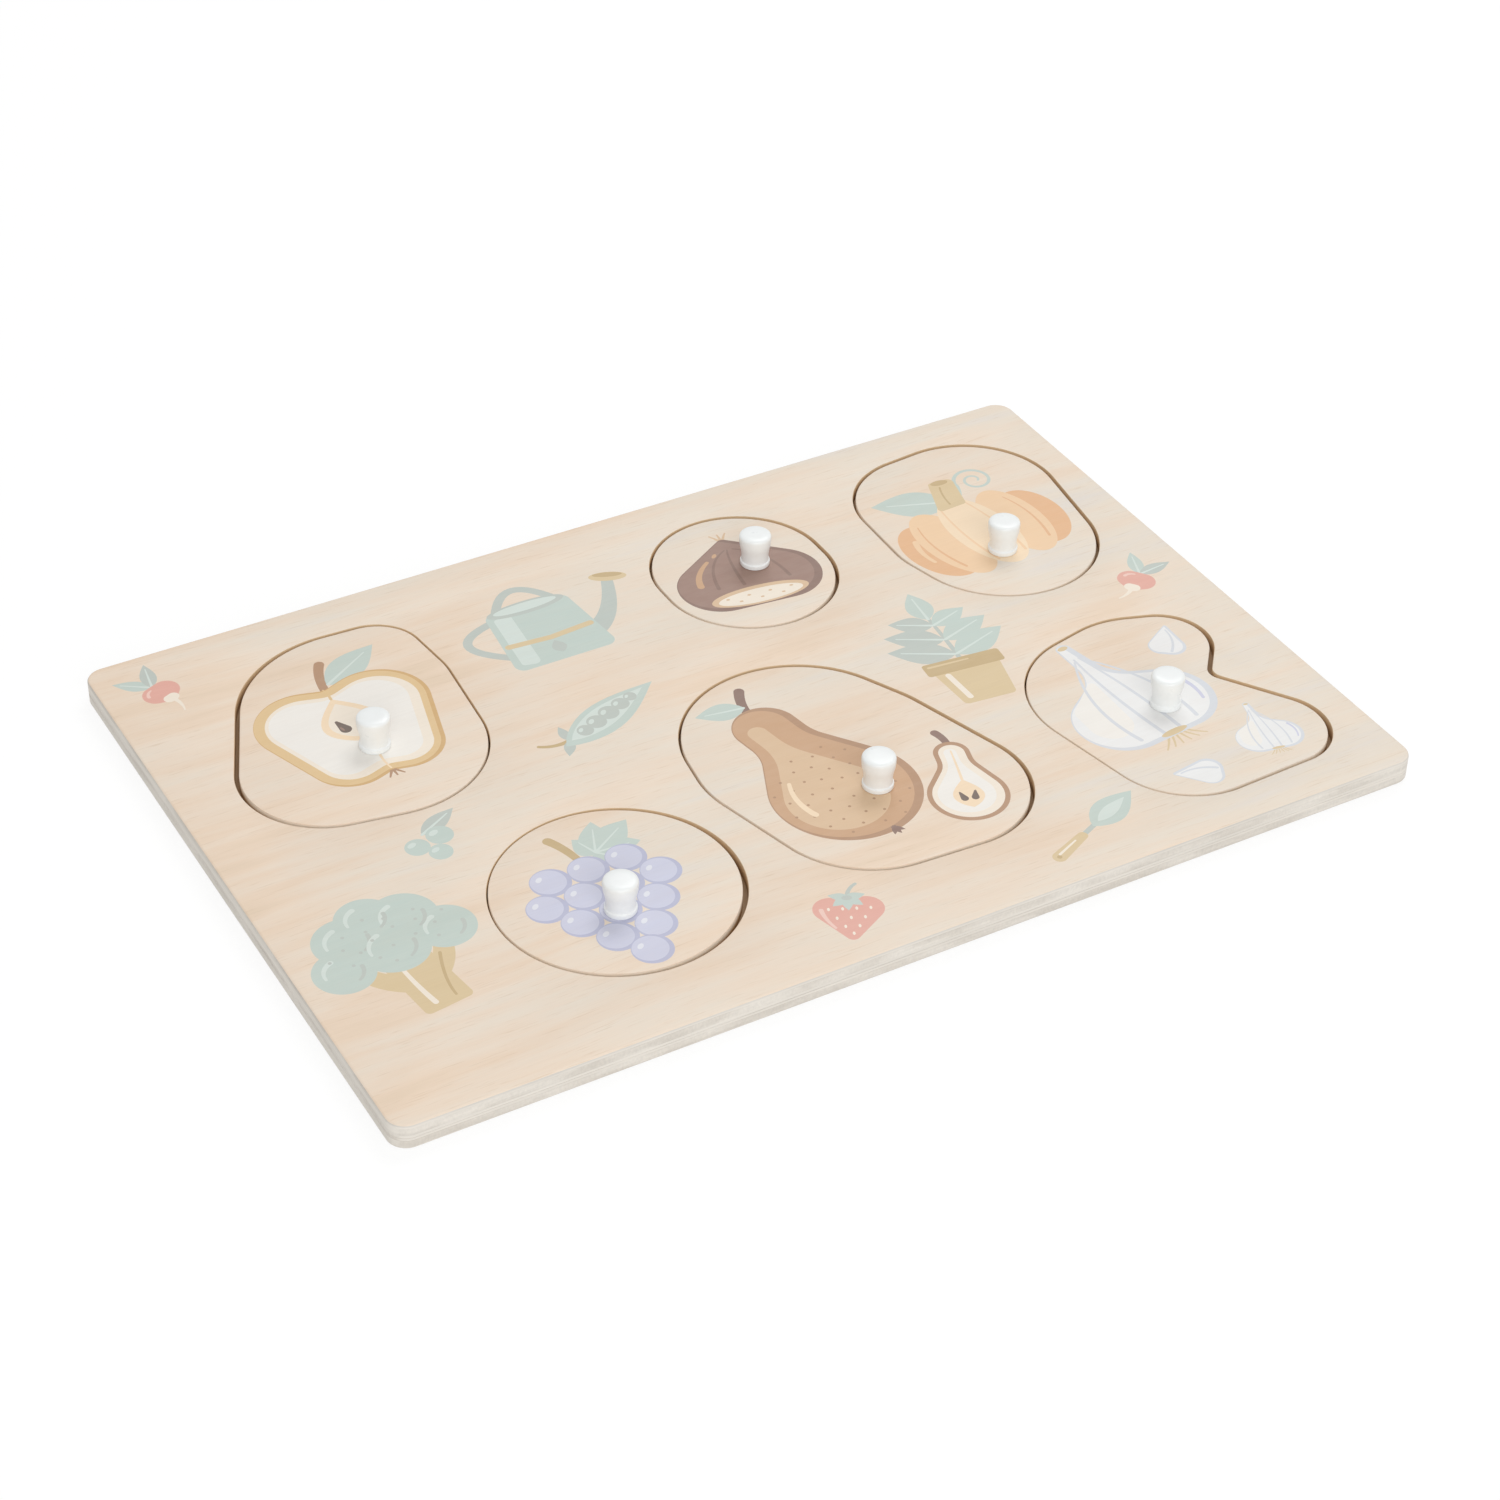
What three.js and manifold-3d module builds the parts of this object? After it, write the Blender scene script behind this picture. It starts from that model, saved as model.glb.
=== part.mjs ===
// A wooden peg puzzle: a shallow tray of two plywood boards glued together, and six loose
// pieces that lie flush in its recesses. A turned peg, screwed on from below, lifts each piece.
// Millimetres, +Z up. The origin lies under the middle of the board.

import * as THREE from 'three';
import { mergeVertices } from 'three/addons/utils/BufferGeometryUtils.js';
import Module from 'manifold-3d';

// The two boards. The recesses go right through the upper one, and the lower one is their floor.
const BOARD_LENGTH = 300;
const BOARD_DEPTH = 205;
const BASE_THICKNESS = 3.5;
const SHEET_THICKNESS = 4; // one sheet gives the upper board and the pieces cut out of it
const BOARD_CORNER_RADIUS = 5.5;
const BOARD_EDGE_ROUND = 0.8; // sanded edge of the glued boards

// A loose piece in its recess.
const PIECE_CLEARANCE = 0.9; // gap all round while the piece lies in the middle
const PIECE_EDGE_CHAMFER = 0.3;

// The peg, turned in the shape of a spool.
const PEG_HEIGHT = 10.2;
const PEG_FOOT_RADIUS = 4.3;
const PEG_FOOT_HEIGHT = 1.6;
const PEG_FOOT_ROUND = 0.8;
const PEG_WAIST_RADIUS = 3.9;
const PEG_WAIST_LEVEL = 2.5;
const PEG_HEAD_RADIUS = 4.65;
const PEG_HEAD_DEPTH = 1.4; // from the top down to the widest line of the head
const PEG_CROWN_RADIUS = 3.9; // where the rounded shoulder runs out into the top

// The countersunk wood screw that holds a peg.
const SCREW_LENGTH = 9;
const SCREW_SHANK_RADIUS = 1.25;
const SCREW_HEAD_RADIUS = 2.5;
const SCREW_TIP_LENGTH = 2;
const SCREW_SET_DEPTH = 0.3; // how far the head lies inside the underside of the piece
const SCREW_CLEARANCE = 0.3; // round the screw, in the piece and in the peg
const DRIVE_LENGTH = 2.6; // the cross in the screw's head
const DRIVE_WIDTH = 0.5;
const DRIVE_DEPTH = 0.7;

// How finely round shapes are divided.
const OUTLINE_STEP = THREE.MathUtils.degToRad(6);
const LEAST_STEP = 0.1; // of a step, between two points of an arc
const EDGE_STEPS = 2;
const PEG_SIDES = 20;
const PEG_CURVE_STEPS = 4;
const SCREW_SIDES = 16;

const OVERCUT = 1; // how far a cutting shape runs past what it cuts
const QUARTER_TURN = [0, 0, 90]; // degrees about each axis

// Each outline is a chain of arcs on discs, joined by straight runs that touch both discs. The
// discs are given as x, y and radius from the axis of the piece's peg, counter-clockwise, and a
// negative radius makes a hollow. "lean" is how far the piece has slid in its recess, to the
// right and to the back, as a share of the clearance.
const PIECES = {
  apple: {
    lean: [0.45, 0],
    discs: [[0.5, -0.5, 29.5], [4, 23.5, 28], [17, 38, 13.5], [6.5, 16.5, 35.5], [-14.5, -3.5, 24]],
  },
  chestnut: {
    lean: [-0.2, 0],
    discs: [[-5, -5, 25], [-5, 0.5, 25]],
  },
  pumpkin: {
    lean: [-0.2, -0.2],
    discs: [[2, 4.5, 28], [7, 29, 26.5], [-3.5, 30.5, 24], [-3, 12, 25]],
  },
  grape: {
    lean: [-0.45, 0.45],
    discs: [[2.5, 7.7, 32.3]],
  },
  pear: {
    lean: [-0.25, 0.1],
    discs: [[13, -8, 25], [-1.5, 18, 31], [-7.5, 28, 32], [-9, 20.5, 31.5], [-6, -4, 28]],
  },
  garlic: {
    lean: [-0.5, 0.1],
    discs: [
      [19, -23, 15], [23.5, 5.5, -4.5], [15, 23.5, 13.5],
      [4, 12.5, 27.5], [-5, 9.5, 28.5], [-5.5, -16, 23],
    ],
  },
};

// The wood between the recesses, from left to right in a row and from front to back in a
// column. The gaps of a line share out, in proportion, what its recesses leave of the board.
const ROWS = [
  { pieces: ['apple', 'chestnut', 'pumpkin'], gaps: [17.4, 68.6, 16.9, 9.7] },
  { pieces: ['grape', 'pear', 'garlic'], gaps: [53.1, 5.8, 14.5, 10.6] },
];
const COLUMNS = [
  { pieces: ['grape', 'apple'], gaps: [19.8, 19.9, 15.1] },
  { pieces: ['pear', 'chestnut'], gaps: [24.3, 14.1, 14.5] },
  { pieces: ['garlic', 'pumpkin'], gaps: [11.6, 19.4, 12.4] },
];

const wood = new THREE.MeshStandardMaterial({ color: 0xe4d3be, roughness: 0.6, metalness: 0 });
const backWood = new THREE.MeshStandardMaterial({ color: 0xdbcbb6, roughness: 0.7, metalness: 0 });
const whitePaint = new THREE.MeshStandardMaterial({ color: 0xf3f3f1, roughness: 0.25, metalness: 0 });
const zinc = new THREE.MeshStandardMaterial({ color: 0xb9bcc0, roughness: 0.4, metalness: 1 });

const wasm = await Module();
wasm.setup();

// A closed three.js geometry as a solid that can be cut.
function solidOf(geometry) {
  const bare = geometry.clone();
  bare.deleteAttribute('normal');
  bare.deleteAttribute('uv');
  const merged = mergeVertices(bare);
  const corners = merged.index.array;
  const triangles = [];
  for (let i = 0; i < corners.length; i += 3) {
    const [a, b, c] = corners.subarray(i, i + 3);
    if (a !== b && b !== c && c !== a) triangles.push(a, b, c);
  }
  const mesh = new wasm.Mesh({
    numProp: 3,
    vertProperties: merged.attributes.position.array,
    triVerts: new Uint32Array(triangles),
  });
  return new wasm.Manifold(mesh);
}

// A cut solid as a three.js geometry.
function geometryOf(solid) {
  const mesh = solid.getMesh();
  const geometry = new THREE.BufferGeometry();
  geometry.setAttribute('position', new THREE.BufferAttribute(mesh.vertProperties, 3));
  geometry.setIndex(new THREE.BufferAttribute(mesh.triVerts, 1));
  geometry.computeVertexNormals();
  return geometry;
}

// Directions of the points of an arc: both ends and, between them, every whole step, so that
// the outermost points of an outline are among them.
function arcDirections(from, to) {
  const low = Math.min(from, to);
  const high = Math.max(from, to);
  const first = Math.ceil(low / OUTLINE_STEP + LEAST_STEP);
  const last = Math.floor(high / OUTLINE_STEP - LEAST_STEP);
  const directions = [low];
  for (let step = first; step <= last; step += 1) directions.push(step * OUTLINE_STEP);
  directions.push(high);
  return from < to ? directions : directions.reverse();
}

// Points of an arc on a disc, from one direction to another.
function arcPoints(disc, from, to) {
  return arcDirections(from, to).map((angle) => {
    const x = disc.x + disc.radius * Math.cos(angle);
    const y = disc.y + disc.radius * Math.sin(angle);
    return new THREE.Vector2(x, y);
  });
}

// Points of the chain of arcs on the discs, with every radius grown by the same amount.
function outlineOf(discs, grow = 0) {
  const chain = discs.map(([x, y, radius]) => ({ x, y, radius: radius + grow }));
  const fullTurn = 2 * Math.PI;
  if (chain.length === 1) return arcPoints(chain[0], 0, fullTurn).slice(1);
  // Direction in which the straight run from each disc to the next one faces outwards.
  const runs = chain.map((disc, i) => {
    const next = chain[(i + 1) % chain.length];
    const along = Math.atan2(next.y - disc.y, next.x - disc.x);
    const apart = Math.hypot(next.x - disc.x, next.y - disc.y);
    return along - Math.acos((disc.radius - next.radius) / apart);
  });
  return chain.flatMap((disc, i) => {
    const way = Math.sign(disc.radius);
    const start = runs.at(i - 1);
    const sweep = THREE.MathUtils.euclideanModulo(way * (runs[i] - start), fullTurn);
    return arcPoints(disc, start, start + way * sweep);
  });
}

// An outline raised from one level to another, with both edges rounded or chamfered.
function sheet(outline, bottom, top, edge = 0, edgeSteps = 1) {
  const geometry = new THREE.ExtrudeGeometry(new THREE.Shape(outline), {
    depth: top - bottom - 2 * edge,
    bevelEnabled: edge > 0,
    bevelThickness: edge,
    bevelSize: edge,
    bevelOffset: -edge,
    bevelSegments: edgeSteps,
  });
  return geometry.translate(0, 0, bottom + edge);
}

// A profile of radius and height, turned round the Z axis.
function turned(profile, sides) {
  return new THREE.LatheGeometry(profile, sides).rotateX(Math.PI / 2);
}

function box(low, high) {
  const size = high.clone().sub(low);
  const middle = low.clone().add(high).multiplyScalar(0.5);
  return new THREE.BoxGeometry(size.x, size.y, size.z).translate(middle.x, middle.y, middle.z);
}

// The recess of a piece, from the axis of its peg.
function recessOutline(name) {
  return outlineOf(PIECES[name].discs, PIECE_CLEARANCE);
}

function sum(numbers) {
  return numbers.reduce((total, number) => total + number, 0);
}

// Places of the recesses along one axis, by piece.
function placesAlong(axis, lines, length) {
  const places = {};
  for (const { pieces, gaps } of lines) {
    const boxes = pieces.map((name) => new THREE.Box2().setFromPoints(recessOutline(name)));
    const sizes = boxes.map((recess) => recess.max[axis] - recess.min[axis]);
    const stretch = (length - sum(sizes)) / sum(gaps);
    let edge = -length / 2;
    pieces.forEach((name, i) => {
      edge += gaps[i] * stretch;
      places[name] = edge - boxes[i].min[axis];
      edge += sizes[i];
    });
  }
  return places;
}

const placesX = placesAlong('x', ROWS, BOARD_LENGTH);
const placesY = placesAlong('y', COLUMNS, BOARD_DEPTH);
const boardTop = BASE_THICKNESS + SHEET_THICKNESS;

// Both boards before the glue line parts them and the recesses are cut.
function boardBlank() {
  const x = BOARD_LENGTH / 2 - BOARD_CORNER_RADIUS;
  const y = BOARD_DEPTH / 2 - BOARD_CORNER_RADIUS;
  const corners = [[x, -y], [x, y], [-x, y], [-x, -y]];
  const outline = outlineOf(corners.map((corner) => [...corner, BOARD_CORNER_RADIUS]));
  return solidOf(sheet(outline, 0, boardTop, BOARD_EDGE_ROUND, EDGE_STEPS));
}

// The slice of the board blank between two levels.
function boardSlice(bottom, top) {
  const reach = new THREE.Vector3(BOARD_LENGTH / 2 + OVERCUT, BOARD_DEPTH / 2 + OVERCUT, 0);
  const low = reach.clone().negate().setZ(bottom);
  const high = reach.clone().setZ(top);
  return boardBlank().intersect(solidOf(box(low, high)));
}

function trayBoard() {
  let tray = boardSlice(BASE_THICKNESS, boardTop + OVERCUT);
  for (const name of Object.keys(PIECES)) {
    const cutter = sheet(recessOutline(name), BASE_THICKNESS - OVERCUT, boardTop + OVERCUT);
    tray = tray.subtract(solidOf(cutter.translate(placesX[name], placesY[name], 0)));
  }
  return geometryOf(tray);
}

function baseBoard() {
  return geometryOf(boardSlice(-OVERCUT, BASE_THICKNESS));
}

// The hole for a screw, countersunk from the underside of a piece.
function screwHole() {
  const headRadius = SCREW_HEAD_RADIUS + SCREW_CLEARANCE;
  const shankRadius = SCREW_SHANK_RADIUS + SCREW_CLEARANCE;
  const profile = [
    new THREE.Vector2(0, -OVERCUT),
    new THREE.Vector2(headRadius, -OVERCUT),
    new THREE.Vector2(headRadius, SCREW_SET_DEPTH),
    new THREE.Vector2(shankRadius, SCREW_SET_DEPTH + headRadius - shankRadius),
    new THREE.Vector2(shankRadius, SHEET_THICKNESS + OVERCUT),
    new THREE.Vector2(0, SHEET_THICKNESS + OVERCUT),
  ];
  return turned(profile, SCREW_SIDES);
}

function loosePiece(name) {
  const blank = sheet(outlineOf(PIECES[name].discs), 0, SHEET_THICKNESS, PIECE_EDGE_CHAMFER);
  return geometryOf(solidOf(blank).subtract(solidOf(screwHole())));
}

// The peg stands on its foot at height 0, with a blind hole for the screw.
function peg() {
  const holeRadius = SCREW_SHANK_RADIUS + SCREW_CLEARANCE;
  const holeDepth = SCREW_SET_DEPTH + SCREW_LENGTH + SCREW_CLEARANCE - SHEET_THICKNESS;
  const foot = PEG_FOOT_RADIUS;
  const waist = PEG_WAIST_RADIUS;
  const head = PEG_HEAD_RADIUS;
  const footMiddle = PEG_FOOT_HEIGHT / 2;
  const neck = (PEG_FOOT_HEIGHT + PEG_WAIST_LEVEL) / 2;
  const headLevel = PEG_HEIGHT - PEG_HEAD_DEPTH;
  const flare = (PEG_WAIST_LEVEL + headLevel) / 2;
  const side = new THREE.Path();
  side.moveTo(0, holeDepth);
  side.lineTo(holeRadius, holeDepth);
  side.lineTo(holeRadius, 0);
  side.lineTo(foot - PEG_FOOT_ROUND, 0);
  side.quadraticCurveTo(foot, 0, foot, footMiddle);
  side.bezierCurveTo(foot, neck, waist, footMiddle, waist, PEG_WAIST_LEVEL);
  side.bezierCurveTo(waist, flare, head, flare, head, headLevel);
  side.bezierCurveTo(head, PEG_HEIGHT, PEG_CROWN_RADIUS, PEG_HEIGHT, 0, PEG_HEIGHT);
  return turned(side.getPoints(PEG_CURVE_STEPS), PEG_SIDES);
}

// The screw stands on its head at height 0, with its tip upwards.
function screw() {
  const profile = [
    new THREE.Vector2(0, 0),
    new THREE.Vector2(SCREW_HEAD_RADIUS, 0),
    new THREE.Vector2(SCREW_SHANK_RADIUS, SCREW_HEAD_RADIUS - SCREW_SHANK_RADIUS),
    new THREE.Vector2(SCREW_SHANK_RADIUS, SCREW_LENGTH - SCREW_TIP_LENGTH),
    new THREE.Vector2(0, SCREW_LENGTH),
  ];
  const reach = DRIVE_LENGTH / 2;
  const half = DRIVE_WIDTH / 2;
  const low = new THREE.Vector3(-reach, -half, -OVERCUT);
  const slot = solidOf(box(low, new THREE.Vector3(reach, half, DRIVE_DEPTH)));
  const cross = slot.add(slot.rotate(QUARTER_TURN));
  return geometryOf(solidOf(turned(profile, SCREW_SIDES)).subtract(cross));
}

function named(name, geometry, material, height = 0) {
  const mesh = new THREE.Mesh(geometry, material);
  mesh.name = name;
  mesh.position.z = height;
  return mesh;
}

// The board with every piece lying in its recess.
const puzzle = new THREE.Group();
puzzle.add(named('base_board', baseBoard(), backWood));
puzzle.add(named('tray_board', trayBoard(), wood));

for (const [name, { lean }] of Object.entries(PIECES)) {
  const lift = new THREE.Group();
  lift.position.set(
    placesX[name] + lean[0] * PIECE_CLEARANCE,
    placesY[name] + lean[1] * PIECE_CLEARANCE,
    BASE_THICKNESS,
  );
  lift.add(named(`${name}_piece`, loosePiece(name), wood));
  lift.add(named(`${name}_peg`, peg(), whitePaint, SHEET_THICKNESS));
  lift.add(named(`${name}_screw`, screw(), zinc, SCREW_SET_DEPTH));
  puzzle.add(lift);
}

export default puzzle;
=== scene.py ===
"""Looks of a wooden peg puzzle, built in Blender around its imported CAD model.

Two sheets of plywood are glued together into a shallow tray. Six loose pieces lie in its
recesses, each with a kitchen-garden print and a turned, white painted peg that is screwed on
from below. Sizes are in millimetres here, and the meshes are in metres, in the CAD frame.
"""

import logging
import math
from dataclasses import dataclass, field, replace
from enum import Enum
from typing import Callable, Iterable, NamedTuple, Self, Sequence

import bpy
from bpy.types import ID, Material, Node, NodeSocket, NodeTree, Object
from mathutils import Matrix, Vector
from mathutils.geometry import delaunay_2d_cdt


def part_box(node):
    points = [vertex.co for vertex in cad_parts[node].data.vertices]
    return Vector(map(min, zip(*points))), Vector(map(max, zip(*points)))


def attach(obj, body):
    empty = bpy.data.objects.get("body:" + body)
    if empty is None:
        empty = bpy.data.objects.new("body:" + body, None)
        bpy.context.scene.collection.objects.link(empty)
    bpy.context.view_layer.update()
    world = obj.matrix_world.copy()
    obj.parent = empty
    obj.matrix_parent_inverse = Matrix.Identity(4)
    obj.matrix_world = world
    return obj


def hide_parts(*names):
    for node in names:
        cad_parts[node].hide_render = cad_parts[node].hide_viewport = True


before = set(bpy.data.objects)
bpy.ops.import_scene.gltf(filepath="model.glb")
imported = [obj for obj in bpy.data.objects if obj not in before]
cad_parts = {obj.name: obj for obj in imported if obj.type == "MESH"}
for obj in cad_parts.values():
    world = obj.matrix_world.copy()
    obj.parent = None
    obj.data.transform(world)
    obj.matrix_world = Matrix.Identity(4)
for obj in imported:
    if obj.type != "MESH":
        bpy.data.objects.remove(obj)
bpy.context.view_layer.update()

Point = tuple[float, float]
Place = tuple[float, float, float]
Disc = tuple[float, float, float]
Colour = tuple[float, float, float, float]
Shade = tuple[float, str]
Weights = tuple[float, float, float]

MM = 0.001
QUARTER_TURN = math.pi / 2
HALF_TURN = math.pi
FULL_TURN = 2 * math.pi
GOLDEN_ANGLE = HALF_TURN * (3 - math.sqrt(5))
WHITE = "#ffffff"
STRIPE = ("#000000", WHITE, WHITE, "#000000")  # from one soft border of a stripe to the other
CORNERS = ((1, -1), (1, 1), (-1, 1), (-1, -1))
MIX_FIRST, MIX_SECOND, MIX_RESULT = 6, 7, 2  # sockets of the Mix node for colours

# How finely round shapes are divided.
CHORD_GAP = 0.006
LEAST_ARC_STEP = math.radians(2.5)
MOST_ARC_STEP = math.radians(24)
CURVE_STEPS = 14
CURVE_SHARES = [i / CURVE_STEPS for i in range(CURVE_STEPS + 1)]
SHARP_ANGLE = math.radians(35)

# How Blender's triangulation of flat shapes is asked for.
TRIANGLES_INSIDE = 1
WELD_DISTANCE = 1e-5

# A printed leaf is widest below its middle, and its vein ends short of the tip.
LEAF_SKEW = 0.82
VEIN_SHARES = (0.02, 0.4, 0.8)
VEIN_WIDTHS = (0.9, 0.4)

log = logging.getLogger("puzzle")


def linear(code: str) -> Colour:
    """Turns a colour of the screen, such as "#eadccb", into the shader's numbers by the sRGB curve."""
    shares = [int(code[i:i + 2], 16) / 255 for i in (1, 3, 5)]
    return (*[s / 12.92 if s <= 0.04045 else ((s + 0.055) / 1.055) ** 2.4 for s in shares], 1.0)


def arc_steps(radius: float, sweep: float) -> int:
    """Works out how many steps an arc of some radius and angle needs."""
    step = 2 * math.acos(1 - min(1.0, CHORD_GAP / max(abs(radius), CHORD_GAP)))
    return max(1, round(abs(sweep) / min(max(step, LEAST_ARC_STEP), MOST_ARC_STEP)))


def arc(disc: Disc, start: float, sweep: float, steps: int) -> list[Point]:
    """Gives the points of an arc on a disc, from a direction over an angle, both ends included."""
    angles = [start + sweep * i / steps for i in range(steps + 1)]
    return [(disc[0] + disc[2] * math.cos(a), disc[1] + disc[2] * math.sin(a)) for a in angles]


def circle(radius: float, sides: int, x: float = 0.0, y: float = 0.0) -> list[Point]:
    """Gives the points of a circle, counter-clockwise."""
    return arc((x, y, radius), 0, FULL_TURN, sides)[1:]


def outline(discs: Sequence[Disc], grow: float = 0.0) -> list[Point]:
    """Draws a chain of arcs on discs, joined by straight runs that touch both discs.

    Args:
        discs: x, y and radius of each disc, counter-clockwise. A negative radius makes a hollow.
        grow: how far the outline is moved outwards. The number of points stays the same.

    Returns:
        The points of the outline, counter-clockwise.
    """
    chain = [(x, y, radius + grow) for x, y, radius in discs]
    if len(chain) == 1:
        x, y, radius = chain[0]
        return circle(radius, arc_steps(discs[0][2], FULL_TURN), x, y)
    runs = []
    for (x, y, radius), (next_x, next_y, next_radius) in zip(chain, chain[1:] + chain[:1]):
        along = math.atan2(next_y - y, next_x - x)
        apart = math.hypot(next_x - x, next_y - y)
        runs.append(along - math.acos((radius - next_radius) / apart))
    points = []
    for i, disc in enumerate(chain):
        way = math.copysign(1, disc[2])
        sweep = way * (way * (runs[i] - runs[i - 1]) % FULL_TURN)
        points += arc(disc, runs[i - 1], sweep, arc_steps(discs[i][2], sweep))
    return points


def row(count: int, gap: float) -> list[float]:
    """Gives places a gap apart, about zero."""
    return [(i - (count - 1) / 2) * gap for i in range(count)]


def spread(count: int, gap: float) -> list[Point]:
    """Gives places about a gap apart, spread round zero like the seeds of a sunflower."""
    turns = [(gap * math.sqrt(i), i * GOLDEN_ANGLE) for i in range(1, count + 1)]
    return [(reach * math.cos(turn), reach * math.sin(turn)) for reach, turn in turns]


def rounding(radius: float, steps: int) -> list[Point]:
    """Gives how far each step of a rounded edge lies inside the wall and below the face."""
    angles = [QUARTER_TURN * i / steps for i in range(steps + 1)]
    return [(radius * (1 - math.cos(a)), radius * (1 - math.sin(a))) for a in angles]


def levels(node: str) -> Point:
    """Gives the lowest and the highest level of a CAD node."""
    low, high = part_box(node)
    return (low.z / MM, high.z / MM)


def looking(eye: Place, target: Place) -> Matrix:
    """Gives the place and the aim of something that looks from one point at another."""
    place = Vector(eye) * MM
    return Matrix.LocRotScale(place, (Vector(target) * MM - place).to_track_quat("-Z", "Y"), None)


def linked(name: str, data: ID) -> Object:
    """Puts a new object into the scene.

    Args:
        name: its name.
        data: its mesh, lamp or camera.

    Returns:
        The object.
    """
    made = bpy.data.objects.new(name, data)
    bpy.context.scene.collection.objects.link(made)
    return made


class Ink(Enum):
    """Colours of the print."""

    SAGE = "#bfcfc8"
    MIST = "#d2dfd9"
    STONE = "#b9c3bd"
    STRAW = "#d9c297"
    TWIG = "#c2a878"
    CORAL = "#e2a698"
    ROSE = "#efc8bc"
    HONEY = "#e0c08c"
    AMBER = "#cfa76b"
    CREAM = "#f3e8d8"
    MILK = "#f2efe9"
    COCOA = "#927165"
    BARK = "#7c5c51"
    PEACH = "#f0cca3"
    APRICOT = "#e5b384"
    BUTTER = "#f5dcbb"
    LILAC = "#cbcee3"
    HAZE = "#e2e5ef"
    PLUM = "#b4b8d3"
    RUSSET = "#c79d77"
    UMBER = "#ad8463"
    FAWN = "#d9b995"
    SNOW = "#edeeee"
    FROST = "#d5dae1"
    SEED = "#57463f"


class Value:
    """A socket's value, for arithmetic with numbers and other values."""

    def __init__(self, nodes: "Nodes", socket: NodeSocket) -> None:
        """Wraps a socket of some nodes."""
        self.nodes = nodes
        self.socket = socket

    def maths(self, operation: str, first: "Value | float", second: "Value | float") -> "Value":
        """Adds a Math node and gives its result."""
        return self.nodes.node("ShaderNodeMath", {"operation": operation}, {0: first, 1: second})

    def swing(self, amount: float) -> "Value":
        """Gives how far the value swings about a half, times an amount."""
        return (self - 0.5) * amount

    def __add__(self, other: "Value | float") -> "Value":
        """Adds."""
        return self.maths("ADD", self, other)

    def __sub__(self, other: "Value | float") -> "Value":
        """Takes away."""
        return self.maths("SUBTRACT", self, other)

    def __rsub__(self, other: "Value | float") -> "Value":
        """Takes this value from a number."""
        return self.maths("SUBTRACT", other, self)

    def __mul__(self, other: "Value | float") -> "Value":
        """Multiplies."""
        return self.maths("MULTIPLY", self, other)

    __radd__ = __add__
    __rmul__ = __mul__


class Noise(NamedTuple):
    """A noise: its patches in a metre along each axis, its finer layers and their strength."""

    scale: Place
    detail: float = 2.0
    roughness: float = 0.5


class Touch(NamedTuple):
    """Roughness of a surface, how far that swings, and the strength and depth of its relief."""

    roughness: float
    swing: float
    relief: float
    depth: float


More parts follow.
